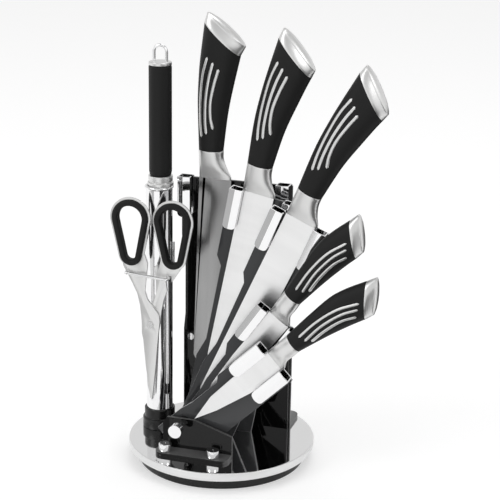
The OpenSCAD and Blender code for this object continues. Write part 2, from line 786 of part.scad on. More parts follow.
// Blade outlines as [across, along]: spine, tip and edge of each pattern
function blade_rows(i) = let (l = blade_l[i], w = blade_w[i])
  i == 0 ? [[0, 0], [0, -0.86 * l], [0.3 * w, -0.95 * l], [0.72 * w, -l], [w, -0.9 * l], [w, 0]] :
  i == 1 ? [[0, 0], [0, -0.8 * l], [0.12 * w, -0.93 * l], [0.3 * w, -l], [0.6 * w, -0.93 * l],
            [0.9 * w, -0.75 * l], [w, -0.55 * l], [w, 0]] :
  i == 2 ? [[0, 0], [0, -0.95 * l], [0.25 * w, -0.99 * l], [0.6 * w, -l], [0.9 * w, -0.96 * l], [w, 0]] :
           [[0, 0], [0.03 * w, -0.44 * l], [0.14 * w, -0.73 * l], [0.5 * w, -l],
            [0.76 * w, -0.77 * l], [0.9 * w, -0.55 * l], [w, -0.39 * l], [w, 0]];

module blade(i) {
  color("#d4d4d4") knife_frame(i) {
    upright(0, blade_t) polygon(blade_rows(i));
    translate([tang_x(i) - tang_w(i) / 2, -blade_t / 2, 0]) cube([tang_w(i), blade_t, tang_end(i)]);
  }
}

// Slot for the tang
module tang_slot(i) {
  translate([tang_x(i) - tang_w(i) / 2 - tang_gap, -blade_t / 2 - tang_gap, -cut])
    cube([tang_w(i) + 2 * tang_gap, blade_t + 2 * tang_gap, tang_end(i) + tang_gap + cut]);
}

// Bolster: thin where the blade leaves it, as thick as the handle at the grip
module bolster(i) {
  foot = grip_foot(i);
  left = grip_rows(i)[0][1];
  right = grip_rows(i)[0][2];
  lip = bolster_lip_t / 2;
  full = handle_t(i) / 2;
  color("#d8d8d8") knife_frame(i) difference() {
    intersection() {
      upright(0, handle_t(i)) polygon([
        [0, 0.05], [left, foot], [right, foot], [right + 1.2, 0.5 * foot], [blade_w[i] - 2, 0.22 * foot],
        [blade_w[i], 0.05]]);
      rotate([90, 0, 90]) translate([0, 0, -20]) linear_extrude(80) polygon([
        [-lip, -1], [lip, -1], [lip + 1, 0.2 * foot], [0.75 * full, 0.6 * foot], [full, foot],
        [-full, foot], [-0.75 * full, 0.6 * foot], [-lip - 1, 0.2 * foot]]);
    }
    tang_slot(i);
  }
}

// Outline of the grip, drawn in by a margin on both sides
function grip_outline(i, inset) = let (
    a = joint_rows(i)[0], b = joint_rows(i)[1], step = inset / (b[0] - a[0]) * (b - a)) concat(
  [for (row = grip_rows(i)) [row[1] + inset, row[0]]],
  [a + step, b - step],
  [for (k = [len(grip_rows(i)) - 1 : -1 : 0]) [grip_rows(i)[k][2] - inset, grip_rows(i)[k][0]]]);

module grip_sleeve(i) {
  color("#1c1c1c") knife_frame(i) difference() {
    union() {
      upright(0, handle_t(i)) polygon(grip_outline(i, 4.5));
      upright(0, handle_t(i) - 4) polygon(grip_outline(i, 1.8));
      upright(0, handle_t(i) - 9) polygon(grip_outline(i, 0));
    }
    tang_slot(i);
  }
}

// Pommel cap on the slanted end of the grip
module pommel(i) {
  a = joint_rows(i)[0];
  b = joint_rows(i)[1];
  color("#d8d8d8") knife_frame(i) {
    upright(0, handle_t(i) - 2) polygon(concat([a, b], [for (k = [4 : -1 : 0]) pommel_rows(i)[k]]));
  }
}

// ---- output ----

base_shell();
base_pads();
base_plug();
glide_ring();
spindle();
retaining_clip();
deck();
rear_bracket();
front_bracket();
for (i = [0 : 4]) {
  leaf(i);
  leaf_guides(i);
}
panel_screws();
deck_studs();
fan_bolt();
bolt_caps();
leaf_spacers();
tube_socket();
steel_tube();
scissor_hook();
steel_rod();
steel_bolster();
steel_handle();
steel_cap();
steel_loop();
scissor_half_right();
scissor_half_left();
grip_right();
grip_left();
scissor_rivet();
for (i = [0 : 4]) {
  blade(i);
  bolster(i);
  grip_sleeve(i);
  pommel(i);
}
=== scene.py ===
"""Dresses the rotating knife stand: its knives, sharpening steel, scissors, holder leaves and turntable."""
import json
import logging
import math
from dataclasses import dataclass, field, replace
from enum import Enum
from functools import cache
from itertools import product
from typing import Iterable, Sequence

import bmesh
import bpy
from mathutils import Matrix, Quaternion, Vector


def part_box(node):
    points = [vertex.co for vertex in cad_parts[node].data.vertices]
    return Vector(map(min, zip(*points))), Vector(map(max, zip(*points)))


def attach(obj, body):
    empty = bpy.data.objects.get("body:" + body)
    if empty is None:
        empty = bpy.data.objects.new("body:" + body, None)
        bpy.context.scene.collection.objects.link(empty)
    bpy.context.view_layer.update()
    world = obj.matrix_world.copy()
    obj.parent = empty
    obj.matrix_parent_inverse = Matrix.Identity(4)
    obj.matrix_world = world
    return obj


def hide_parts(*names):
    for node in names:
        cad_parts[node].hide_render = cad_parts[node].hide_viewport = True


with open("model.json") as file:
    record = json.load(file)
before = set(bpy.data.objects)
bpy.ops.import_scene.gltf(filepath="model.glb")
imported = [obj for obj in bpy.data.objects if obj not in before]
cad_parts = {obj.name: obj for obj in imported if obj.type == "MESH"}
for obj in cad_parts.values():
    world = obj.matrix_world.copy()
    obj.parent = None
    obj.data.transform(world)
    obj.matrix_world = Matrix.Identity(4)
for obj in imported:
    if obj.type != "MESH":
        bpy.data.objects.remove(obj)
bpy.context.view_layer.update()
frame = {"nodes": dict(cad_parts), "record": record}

MM = 0.001
TURN = 2.0 * math.pi
CORE = 0.05 * MM         # the radius left open at the middle of a turned piece
WELD = 0.001 * MM        # points nearer than this are made one
CAD_WELD = 0.002 * MM    # the same, for a copy of a CAD node
STRAIGHT = 0.05          # radians: a corner that turns less than this is left as it is
EDGE_SHARE = 0.45        # the most of an edge that one rounded corner takes
RIM_SWELL = 1.1 * MM     # how far the tube's rolled rim stands out from its wall
Point = tuple[float, float]
log = logging.getLogger("knife_stand")


class Slot(Enum):
    """The material slots of the record."""

    CHROME = "chrome"
    MIRROR = "mirror_steel"
    BLACK_ACRYLIC = "black_acrylic"
    GREY_ACRYLIC = "grey_acrylic"
    PLAIN_STEEL = "plain_steel"
    SATIN_STEEL = "satin_steel"
    BLADE_STEEL = "blade_steel"
    BLACK_PLASTIC = "black_plastic"
    GLIDE = "glide_plastic"
    RUBBER = "rubber"
    SOFT_GRIP = "soft_grip"


# ---------------------------------------------------------------- outlines


def bend(start: Vector, corner: Vector, end: Vector, steps: int) -> list[Vector]:
    """One bend, drawn toward the corner that it takes away.

    Args:
        start: Where the bend begins.
        corner: The corner.
        end: Where the bend ends.
        steps: Straight pieces in the bend.

    Returns:
        The bend's points, with both its ends.
    """
    places = [step / steps for step in range(steps + 1)]
    return [(1 - t) ** 2 * start + 2 * t * (1 - t) * corner + t**2 * end for t in places]


def rounded(points: Sequence[Point], radius: float, steps: int = 5) -> list[Point]:
    """Rounds every corner of a closed outline.

    Args:
        points: Corners of the outline, in order.
        radius: Corner radius, made smaller where an edge is too short for it.
        steps: Straight pieces in each rounded corner.

    Returns:
        The outline's points with each corner replaced by an arc.
    """
    smooth: list[Point] = []
    for k, here in enumerate(points):
        corner = Vector(here)
        back, ahead = Vector(points[k - 1]) - corner, Vector(points[(k + 1) % len(points)]) - corner
        angle = back.angle(ahead)
        if math.pi - angle < STRAIGHT:
            smooth.append(tuple(corner))
            continue
        reach = min(radius / math.tan(angle / 2), EDGE_SHARE * min(back.length, ahead.length))
        start, end = corner + back.normalized() * reach, corner + ahead.normalized() * reach
        smooth += [tuple(point) for point in bend(start, corner, end, steps)]
    return smooth


def egg(wide: float, narrow: float, span: float, count: int = 72) -> list[Point]:
    """An egg outline: a wide round end at the origin and a narrow one below it.

    Args:
        wide: Radius of the upper end.
        narrow: Radius of the lower end.
        span: Distance between the two centres.
        count: Number of points, an even one.

    Returns:
        The outline's points.
    """
    lean = math.asin((wide - narrow) / span)
    half = count // 2
    upper = [-lean + (math.pi + 2 * lean) * k / (half - 1) for k in range(half)]
    lower = [math.pi + lean + (math.pi - 2 * lean) * k / (half - 1) for k in range(half)]
    return ([(wide * math.cos(a), wide * math.sin(a)) for a in upper]
            + [(narrow * math.cos(a), narrow * math.sin(a) - span) for a in lower])


class Fair:
    """A smooth curve through stations, each a place along the piece and a value there."""

    def __init__(self, rows: Sequence[Point]) -> None:
        """Keeps the stations, in order along the piece.

        Args:
            rows: Pairs of a place and the value there.
        """
        self.rows = sorted(rows)

    def at(self, place: float) -> float:
        """The curve's value at a place, by Hermite steps between the stations.

        Args:
            place: The place along the piece.

        Returns:
            The value there, the end value beyond either end.
        """
        rows = self.rows
        if place <= rows[0][0]:
            return rows[0][1]
        if place >= rows[-1][0]:
            return rows[-1][1]
        k = max(i for i, row in enumerate(rows[:-1]) if row[0] <= place)
        (x0, y0), (x1, y1) = rows[k], rows[k + 1]
        before, after = rows[max(k - 1, 0)], rows[min(k + 2, len(rows) - 1)]
        m0 = (y1 - before[1]) / (x1 - before[0])
        m1 = (after[1] - y0) / (after[0] - x0)
        t, span = (place - x0) / (x1 - x0), x1 - x0
        return ((2 * t**3 - 3 * t**2 + 1) * y0 + (t**3 - 2 * t**2 + t) * span * m0
                + (3 * t**2 - 2 * t**3) * y1 + (t**3 - t**2) * span * m1)


# ---------------------------------------------------------------- meshes


class Mould:
    """One mesh in the making, started from bmesh operators."""

    def __init__(self) -> None:
        """Starts an empty mesh."""
        self.bm = bmesh.new()

    def ring_slab(self, outer: Sequence[Point], inner: Sequence[Point], thick: float) -> "Mould":
        """Adds a plate with a hole, both outlines with as many points.

        Args:
            outer: The outer outline, in X and Z.
            inner: The hole's outline.
            thick: The thickness, along Y.

        Returns:
            This mould.
        """
        loops = []
        for outline in (outer, inner):
            verts = [self.bm.verts.new((x, -thick / 2, z)) for x, z in outline]
            loops += [self.bm.edges.new((verts[k - 1], verts[k])) for k in range(len(verts))]
        faces = bmesh.ops.bridge_loops(self.bm, edges=loops)["faces"]
        grown = bmesh.ops.extrude_face_region(self.bm, geom=faces)
        moved = [part for part in grown["geom"] if isinstance(part, bmesh.types.BMVert)]
        bmesh.ops.translate(self.bm, vec=(0, thick, 0), verts=moved)
        return self

    def lathe(self, profile: Sequence[Point], steps: int) -> "Mould":
        """Adds a turned shape, spun about Z.

        Args:
            profile: Its closed outline, each point a radius and a height.
            steps: Faces around it.

        Returns:
            This mould.
        """
        verts = [self.bm.verts.new((r, 0, z)) for r, z in profile]
        ahead = verts[1:] + verts[:1]
        edges = [self.bm.edges.new(pair) for pair in zip(verts, ahead)]
        bmesh.ops.spin(self.bm, geom=verts + edges, cent=(0, 0, 0), axis=(0, 0, 1),
                       angle=TURN, steps=steps, use_merge=True)
        return self

    def loft(self, places: Sequence[Matrix], fullness: float, steps: int) -> "Mould":
        """Adds a closed skin over rings, each a unit circle squared up a little and put in place.

        Args:
            places: One matrix per ring, in order.
            fullness: 2 for an ellipse, more for a squarer section.
            steps: Points in each ring.

        Returns:
            This mould.
        """
        rings = []
        for place in places:
            made = bmesh.ops.create_circle(self.bm, cap_ends=False, segments=steps, radius=1.0)["verts"]
            for vert in made:
                size = abs(vert.co.x) ** fullness + abs(vert.co.y) ** fullness
                vert.co = place @ (vert.co * size ** (-1 / fullness))
            rings.append(list({edge for vert in made for edge in vert.link_edges}))
        for below, above in zip(rings, rings[1:]):
            bmesh.ops.bridge_loops(self.bm, edges=below + above)
        for ring in (rings[0], rings[-1]):
            bmesh.ops.contextual_create(self.bm, geom=ring)
        return self

    def copy_of(self, node: str, place: Matrix | None = None, flat: float = 0.6) -> "Mould":
        """Adds a copy of a CAD node, its loose triangles joined into whole faces.

        Args:
            node: The CAD node's name.
            place: A turn to give the copy before its flat faces are joined.
            flat: Faces that meet at less than this angle, in degrees, are joined.

        Returns:
            This mould.
        """
        self.bm.from_mesh(frame["nodes"][node].data)
        bmesh.ops.remove_doubles(self.bm, verts=self.bm.verts, dist=CAD_WELD)
        self.move(place or Matrix.Identity(4))
        bmesh.ops.dissolve_limit(self.bm, angle_limit=math.radians(flat), verts=self.bm.verts,
                                 edges=self.bm.edges, delimit=set())
        return self

    def sharp_edges(self, degrees: float) -> list[bmesh.types.BMEdge]:
        """The edges where two faces meet at more than an angle."""
        limit = math.radians(degrees)
        return [e for e in self.bm.edges if len(e.link_faces) == 2 and e.calc_face_angle(0.0) > limit]

    def bevel(self, width: float, segments: int = 2, degrees: float = 30.0) -> "Mould":
        """Rounds the sharp edges over.

        Args:
            width: Width of the rounded edge, in metres.
            segments: Faces across it.
            degrees: Edges sharper than this angle are rounded.

        Returns:
            This mould.
        """
        bmesh.ops.recalc_face_normals(self.bm, faces=self.bm.faces)
        bmesh.ops.bevel(self.bm, geom=self.sharp_edges(degrees), offset=width, offset_type="OFFSET",
                        segments=segments, profile=0.5, affect="EDGES", clamp_overlap=True, material=-1)
        return self

    def move(self, place: Matrix) -> "Mould":
        """Puts the whole mesh in place."""
        bmesh.ops.transform(self.bm, matrix=place, verts=self.bm.verts)
        return self

    def piece(self, name: str, smooth_to: float = 32.0) -> bpy.types.Object:
        """Closes the mould and makes a scene object of it.

        Args:
            name: The object's name.
            smooth_to: Faces that meet at less than this angle are shaded as one surface.

        Returns:
            The new object, at the origin.
        """
        bmesh.ops.remove_doubles(self.bm, verts=self.bm.verts, dist=WELD)
        bmesh.ops.recalc_face_normals(self.bm, faces=self.bm.faces)
        mesh = bpy.data.meshes.new(name)
        self.bm.to_mesh(mesh)
        self.bm.free()
        mesh.shade_smooth()
        mesh.set_sharp_from_angle(angle=math.radians(smooth_to))
        made = bpy.data.objects.new(name, mesh)
        bpy.context.scene.collection.objects.link(made)
        return made


def softened(node: str, width: float, segments: int = 2) -> Mould:
    """A copy of a CAD node with its sharp edges rounded over.

    Args:
        node: The CAD node's name.
        width: Width of the rounded edge, in metres.
        segments: Faces across the rounded edge.

    Returns:
        The mould, in place.
    """
    return Mould().copy_of(node).bevel(width, segments)


def wire(points: Sequence[Vector], radius: float, name: str, steps: int = 6) -> bpy.types.Object:
    """A bent wire along points, with round ends.

    Args:
        points: The wire's middle line, in metres.
        radius: The wire's radius.
        name: The object's name.
        steps: Straight pieces in a quarter of the wire's section.

    Returns:
        The new object, a mesh at the origin.
    """
    line = bpy.data.curves.new(name, "CURVE")
    line.dimensions = "3D"
    line.bevel_depth = radius
    line.bevel_resolution = steps
    line.use_fill_caps = True
    spline = line.splines.new("POLY")
    spline.points.add(len(points) - 1)
    for target, point in zip(spline.points, points):
        target.co = (*point, 1.0)
    bent = bpy.data.objects.new(name, line)
    bpy.context.scene.collection.objects.link(bent)
    mould = Mould()
    mould.bm.from_mesh(bpy.data.meshes.new_from_object(bent))
    bpy.data.objects.remove(bent)
    bpy.data.curves.remove(line)
    return mould.piece(name)


def bent_path(corners: Sequence[Sequence[float]], radius: float, steps: int = 8) -> list[Vector]:
    """A path through corners with each inner corner bent round.

    Args:
        corners: The path's corners.
        radius: How far from a corner its bend begins.
        steps: Straight pieces in each bend.

    Returns:
        The path's points.
    """
    path = [Vector(corners[0])]
    for before, here, after in zip(corners, corners[1:], corners[2:]):
        corner = Vector(here)
        start = corner + (Vector(before) - corner).normalized() * radius
        end = corner + (Vector(after) - corner).normalized() * radius
        path += bend(start, corner, end, steps)
    return path + [Vector(corners[-1])]


# ---------------------------------------------------------------- finishes


def set_inputs(node: bpy.types.Node, values: dict[str, object]) -> None:
    """Sets a node's inputs by their names."""
    for label, value in values.items():
        node.inputs[label].default_value = value


class Effects:
    """The shared surface effects, each a node group that is built once."""

    @staticmethod
    def _group(name: str, inputs: Sequence[tuple[str, str, object]],
               outputs: Sequence[str]) -> tuple[bpy.types.NodeTree, bpy.types.Node, bpy.types.Node]:
        """Starts a node group with named sockets.

        Args:
            name: The group's name.
            inputs: Name, socket type and first value of each input.
            outputs: Names of the outputs, all single values.

        Returns:
            The group, its input node and its output node.
        """
        tree = bpy.data.node_groups.new(name, "ShaderNodeTree")
        for label, kind, start in inputs:
            socket = tree.interface.new_socket(name=label, in_out="INPUT", socket_type=kind)
            if start is not None:
                socket.default_value = start
        for label in outputs:
            tree.interface.new_socket(name=label, in_out="OUTPUT", socket_type="NodeSocketFloat")
        return tree, tree.nodes.new("NodeGroupInput"), tree.nodes.new("NodeGroupOutput")

    @staticmethod
    @cache
    def grain() -> bpy.types.NodeTree:
        """Fine grain of a moulded or coated surface: a height from 0 to 1."""
        tree, given, result = Effects._group("fine grain", [
            ("Vector", "NodeSocketVector", None), ("Scale", "NodeSocketFloat", 900.0)], ["Height"])
        noise = tree.nodes.new("ShaderNodeTexNoise")
        set_inputs(noise, {"Detail": 3.0})
        tree.links.new(given.outputs["Vector"], noise.inputs["Vector"])
        tree.links.new(given.outputs["Scale"], noise.inputs["Scale"])
        tree.links.new(noise.outputs["Fac"], result.inputs["Height"])
        return tree

    @staticmethod
    @cache
    def streaks() -> bpy.types.NodeTree:
        """Brushed lines: a height and a softer shade, drawn out along the stretched axis."""
        tree, given, result = Effects._group("brushed streaks", [
            ("Vector", "NodeSocketVector", None), ("Stretch", "NodeSocketVector", (900.0, 60.0, 8.0))],
            ["Height", "Shade"])
        pulled = tree.nodes.new("ShaderNodeVectorMath")
        pulled.operation = "MULTIPLY"
        tree.links.new(given.outputs["Vector"], pulled.inputs[0])
        tree.links.new(given.outputs["Stretch"], pulled.inputs[1])
        for label, scale, detail in (("Height", 1.0, 3.0), ("Shade", 0.09, 4.0)):
            noise = tree.nodes.new("ShaderNodeTexNoise")
            set_inputs(noise, {"Scale": scale, "Detail": detail})
            tree.links.new(pulled.outputs[0], noise.inputs["Vector"])
            tree.links.new(noise.outputs["Fac"], result.inputs[label])
        return tree

    @staticmethod
    @cache
    def handling() -> bpy.types.NodeTree:
        """Faint handling marks: a roughness that drifts between two values."""
        tree, given, result = Effects._group("handling marks", [
            ("Vector", "NodeSocketVector", None), ("Scale", "NodeSocketFloat", 25.0),
            ("Low", "NodeSocketFloat", 0.1), ("High", "NodeSocketFloat", 0.2)], ["Roughness"])
        noise = tree.nodes.new("ShaderNodeTexNoise")
        set_inputs(noise, {"Detail": 5.0})
        spread = tree.nodes.new("ShaderNodeMapRange")
        set_inputs(spread, {"From Min": 0.3, "From Max": 0.7})
        tree.links.new(given.outputs["Vector"], noise.inputs["Vector"])
        tree.links.new(given.outputs["Scale"], noise.inputs["Scale"])
        tree.links.new(noise.outputs["Fac"], spread.inputs["Value"])
        tree.links.new(given.outputs["Low"], spread.inputs["To Min"])
        tree.links.new(given.outputs["High"], spread.inputs["To Max"])
        tree.links.new(spread.outputs["Result"], result.inputs["Roughness"])
        return tree

    @staticmethod
    @cache
    def facing() -> bpy.types.NodeTree:
        """A mask that is 1 on faces turned along one axis of the stand and 0 on the rest."""
        tree, given, result = Effects._group("faces along axis", [
            ("Normal", "NodeSocketVector", None), ("Axis", "NodeSocketVector", (0.0, 1.0, 0.0)),
            ("From", "NodeSocketFloat", 0.6), ("To", "NodeSocketFloat", 0.9)], ["Mask"])
        dot = tree.nodes.new("ShaderNodeVectorMath")
        dot.operation = "DOT_PRODUCT"
        size = tree.nodes.new("ShaderNodeMath")
        size.operation = "ABSOLUTE"
        spread = tree.nodes.new("ShaderNodeMapRange")
        tree.links.new(given.outputs["Normal"], dot.inputs[0])
        tree.links.new(given.outputs["Axis"], dot.inputs[1])
        tree.links.new(dot.outputs["Value"], size.inputs[0])
        tree.links.new(size.outputs[0], spread.inputs["Value"])
        tree.links.new(given.outputs["From"], spread.inputs["From Min"])
        tree.links.new(given.outputs["To"], spread.inputs["From Max"])
        tree.links.new(spread.outputs["Result"], result.inputs["Mask"])
        return tree


@dataclass(frozen=True)
class Finish:
    """One surface finish: its colour and gloss, and how strong each effect is on it."""

    name: str
    colour: tuple[float, float, float]
    metal: float = 0.0
    rough: float = 0.4
    rough_spread: float = 0.05
    gloss: float = 0.5
    grain: float = 0.0
    grain_scale: float = 900.0
    streak: float = 0.0
    stretch: tuple[float, float, float] = (900.0, 60.0, 8.0)
    tilt: float = 0.0
    streak_shade: float = 0.0
    edge_axis: tuple[float, float, float] | None = None
    # edge colour: on the deck the satin flank's own tint, on the acrylic a painted highlight along the
    # polished edges
    edge_tint_and_highlight: tuple[float, float, float] = (0.3, 0.3, 0.3)
    edge_rough: float = 0.3
    grain_shade: float = 0.04
    bump_height: float = 0.2 * MM

    def material(self) -> bpy.types.Material:
        """Builds the finish's material once and gives it back on later calls."""
        known = bpy.data.materials.get(self.name)
        if known:
            return known
        made = bpy.data.materials.new(self.name)
        made.use_nodes = True
        tree = made.node_tree
        shader = tree.nodes["Principled BSDF"]
        set_inputs(shader, {"Metallic": self.metal, "Specular IOR Level": self.gloss})
        place = tree.nodes.new("ShaderNodeTexCoord")
        turn = tree.nodes.new("ShaderNodeMapping")
        set_inputs(turn, {"Rotation": (0.0, -self.tilt, 0.0)})
        tree.links.new(place.outputs["Object"], turn.inputs["Vector"])
        colour = self._colour(tree, place, turn)
        tree.links.new(colour, shader.inputs["Base Color"])
        tree.links.new(self._roughness(tree, place, turn), shader.inputs["Roughness"])
        relief = self._relief(tree, turn)
        if relief is not None:
            tree.links.new(relief, shader.inputs["Normal"])
        return made

    def _effect(self, tree: bpy.types.NodeTree, effect: bpy.types.NodeTree,
                vector: bpy.types.NodeSocket, **values: object) -> bpy.types.Node:
        """Places one effect group and sets its inputs.

        Args:
            tree: The material's nodes.
            effect: The effect group.
            vector: What goes into the group's first input.
            values: Values for its other inputs, by name.

        Returns:
            The placed group.
        """
        node = tree.nodes.new("ShaderNodeGroup")
        node.node_tree = effect
        tree.links.new(vector, node.inputs[0])
        set_inputs(node, values)
        return node

    def _edges(self, tree: bpy.types.NodeTree, place: bpy.types.Node) -> bpy.types.NodeSocket:
        """The mask of the faces that aren't edges."""
        mask = self._effect(tree, Effects.facing(), place.outputs["Normal"], Axis=self.edge_axis)
        return mask.outputs["Mask"]

    def _colour(self, tree: bpy.types.NodeTree, place: bpy.types.Node,
                turn: bpy.types.Node) -> bpy.types.NodeSocket:
        """The base colour: the plain colour, shaded by streaks or grain and changed on the edges, a painted
        highlight on the acrylic and the satin flank's own tint on the deck.

        Args:
            tree: The material's nodes.
            place: The coordinate node.
            turn: The same coordinates, turned with the piece.

        Returns:
            The socket with the colour.
        """
        darker = 1 - (self.streak_shade or self.grain_shade)
        shade = tree.nodes.new("ShaderNodeMix")
        shade.data_type = "RGBA"
        set_inputs(shade, {"A": (*(darker * c for c in self.colour), 1.0), "B": (*self.colour, 1.0)})
        if self.streak_shade:
            node = self._effect(tree, Effects.streaks(), turn.outputs["Vector"], Stretch=self.stretch)
            spread = tree.nodes.new("ShaderNodeMapRange")
            set_inputs(spread, {"From Min": 0.35, "From Max": 0.65})
            tree.links.new(node.outputs["Shade"], spread.inputs["Value"])
            tree.links.new(spread.outputs["Result"], shade.inputs["Factor"])
        else:
            node = self._effect(tree, Effects.grain(), turn.outputs["Vector"], Scale=self.grain_scale)
            tree.links.new(node.outputs["Height"], shade.inputs["Factor"])
        if self.edge_axis is None:
            return shade.outputs["Result"]
        # the edge colour: a painted highlight on the acrylic, the satin flank's tint on the deck
        edged = tree.nodes.new("ShaderNodeMix")
        edged.data_type = "RGBA"
        set_inputs(edged, {"A": (*self.edge_tint_and_highlight, 1.0)})
        tree.links.new(shade.outputs["Result"], edged.inputs["B"])
        tree.links.new(self._edges(tree, place), edged.inputs["Factor"])
        return edged.outputs["Result"]

    def _roughness(self, tree: bpy.types.NodeTree, place: bpy.types.Node,
                   turn: bpy.types.Node) -> bpy.types.NodeSocket:
        """The roughness: handling marks, and the edges' own value where the finish has one.

        Args:
            tree: The material's nodes.
            place: The coordinate node.
            turn: The same coordinates, turned with the piece.

        Returns:
            The socket with the roughness.
        """
        marks = self._effect(tree, Effects.handling(), turn.outputs["Vector"],
                             Low=self.rough, High=self.rough + self.rough_spread)
        if self.edge_axis is None:
            return marks.outputs["Roughness"]
        mix = tree.nodes.new("ShaderNodeMix")
        set_inputs(mix, {"A": self.edge_rough})
        tree.links.new(marks.outputs["Roughness"], mix.inputs["B"])
        tree.links.new(self._edges(tree, place), mix.inputs["Factor"])
        return mix.outputs["Result"]

    def _relief(self, tree: bpy.types.NodeTree, turn: bpy.types.Node) -> bpy.types.NodeSocket | None:
        """The bump from streaks or grain, or nothing on a polished surface.

        Args:
            tree: The material's nodes.
            turn: The coordinates, turned with the piece.

        Returns:
            The socket with the bent normal, or none.
        """
        if self.streak:
            node = self._effect(tree, Effects.streaks(), turn.outputs["Vector"], Stretch=self.stretch)
            strength = self.streak
        elif self.grain:
            node = self._effect(tree, Effects.grain(), turn.outputs["Vector"], Scale=self.grain_scale)
            strength = self.grain
        else:
            return None
        bump = tree.nodes.new("ShaderNodeBump")
        set_inputs(bump, {"Strength": strength, "Distance": self.bump_height})
        tree.links.new(node.outputs["Height"], bump.inputs["Height"])
        return bump.outputs["Normal"]


FINISHES: dict[Slot, Finish] = {
    Slot.CHROME: Finish("polished chrome", (0.9, 0.9, 0.905), metal=1.0, rough=0.05, rough_spread=0.03,
                        grain_scale=60.0),
    Slot.MIRROR: Finish("mirror polished deck", (0.86, 0.86, 0.86), metal=1.0, rough=0.04,
                        rough_spread=0.03, grain_scale=40.0, edge_axis=(0.0, 0.0, 1.0),
                        edge_tint_and_highlight=(0.8, 0.8, 0.8), edge_rough=0.5),
    # the lighter edge colour on both acrylics is a painted highlight where the polished edges catch the
    # light
    Slot.BLACK_ACRYLIC: Finish("black acrylic", (0.003, 0.003, 0.003), rough=0.03, rough_spread=0.03,
                               gloss=0.3, edge_axis=(0.0, 1.0, 0.0), edge_tint_and_highlight=(0.1, 0.1, 0.1)),
    Slot.GREY_ACRYLIC: Finish("smoke grey acrylic", (0.05, 0.051, 0.053), rough=0.06, rough_spread=0.04,
                              gloss=0.35, edge_axis=(0.0, 1.0, 0.0), edge_tint_and_highlight=(0.3, 0.3, 0.305)),
    Slot.PLAIN_STEEL: Finish("turned steel", (0.78, 0.78, 0.78), metal=1.0, rough=0.16, rough_spread=0.1,
                             grain=0.1),
    Slot.SATIN_STEEL: Finish("satin steel", (0.76, 0.76, 0.755), metal=1.0, rough=0.34,
                             rough_spread=0.05, grain=0.02, grain_scale=2500.0),
    Slot.BLADE_STEEL: Finish("ground blade steel", (0.84, 0.84, 0.84), metal=1.0, rough=0.3,
                             rough_spread=0.05, streak=0.05, streak_shade=0.05,
                             stretch=(30.0, 200.0, 900.0)),
    Slot.BLACK_PLASTIC: Finish("black moulded plastic", (0.004, 0.004, 0.004), rough=0.22,
                               rough_spread=0.1, gloss=0.4, grain=0.15, grain_scale=1400.0),
    Slot.GLIDE: Finish("white glide plastic", (0.75, 0.75, 0.7), rough=0.4, grain=0.2),
    Slot.RUBBER: Finish("black rubber", (0.02, 0.02, 0.02), rough=0.7, rough_spread=0.15, grain=0.4),
    Slot.SOFT_GRIP: Finish("soft touch coating", (0.007, 0.007, 0.007), rough=0.5, rough_spread=0.08,
                           gloss=0.25, grain=0.25, grain_scale=2200.0),
}
# The chef's blade: its darker colour and strong streak shading are painted shade for the dark reflections
# on it; the streaks follow its brushing
CHEF_BLADE_PAINTED_SHADE = {"colour": (0.5, 0.5, 0.5), "rough": 0.2, "streak_shade": 0.55,
              "stretch": (170.0, 60.0, 9.0)}


# ---------------------------------------------------------------- frame look-ups


class Bench:
    """What the frame says about each node, and the last step that every new piece goes through."""

    def __init__(self) -> None:
        """Reads the nodes' bodies, slots and joints from the record."""
        behaviour = frame["record"]["behaviour"]
        self.body_of = {node: body for body, nodes in behaviour["bodies"].items() for node in nodes}
        self.slot_of = {row["node"]: Slot(row["material_slot"]) for row in frame["record"]["subparts"]}
        self.joints = {joint["child"]: joint for joint in behaviour["joints"]}
        self.done: set[str] = set()

    def fit(self, piece: bpy.types.Object, node: str, finish: Finish | None = None,
            stands_for: bool = True) -> bpy.types.Object:
        """Gives a piece its finish, its body and its slot.

        Args:
            piece: The new piece, in place.
            node: The CAD node whose body and slot it takes.
            finish: The finish, or none for the slot's usual one.
            stands_for: Whether the piece stands for the node, which is then hidden.

        Returns:
            The piece.
        """
        slot = self.slot_of[node]
        piece.data.materials.clear()
        piece.data.materials.append((finish or FINISHES[slot]).material())
        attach(piece, self.body_of[node])
        if stands_for:
            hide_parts(node)
            self.done.add(node)
        log.info("%s rides on %s", piece.name, self.body_of[node])
        return piece

    def dress_the_rest(self) -> None:
        """Gives every CAD node that still shows its slot's material."""
        for node, shown in frame["nodes"].items():
            if node in self.done:
                continue
            shown.data.materials.clear()
            shown.data.materials.append(FINISHES[self.slot_of[node]].material())
            log.info("%s keeps its CAD shape", node)

    @staticmethod
    def low(node: str) -> Vector:
        """A node's lowest corner."""
        return Vector(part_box(node)[0])

    @staticmethod
    def high(node: str) -> Vector:
        """A node's highest corner."""
        return Vector(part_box(node)[1])

    def middle(self, node: str) -> Vector:
        """The middle of a node's box."""
        return (self.low(node) + self.high(node)) / 2


# ---------------------------------------------------------------- knives


@dataclass(frozen=True)
class KnifePattern:
    """Sizes that knives of one handle size share, in millimetres from the heel."""

    left: tuple[Point, ...]
    right: tuple[Point, ...]
    joint_left: Point
    joint_right: Point
    end_left: Point
    end_right: Point
    bolster_l: float
    heel_w: float
    half_t: float
    strips: tuple[tuple[Point, ...], ...]
    strip_w: float = 3.0
    dome: float = 2.2


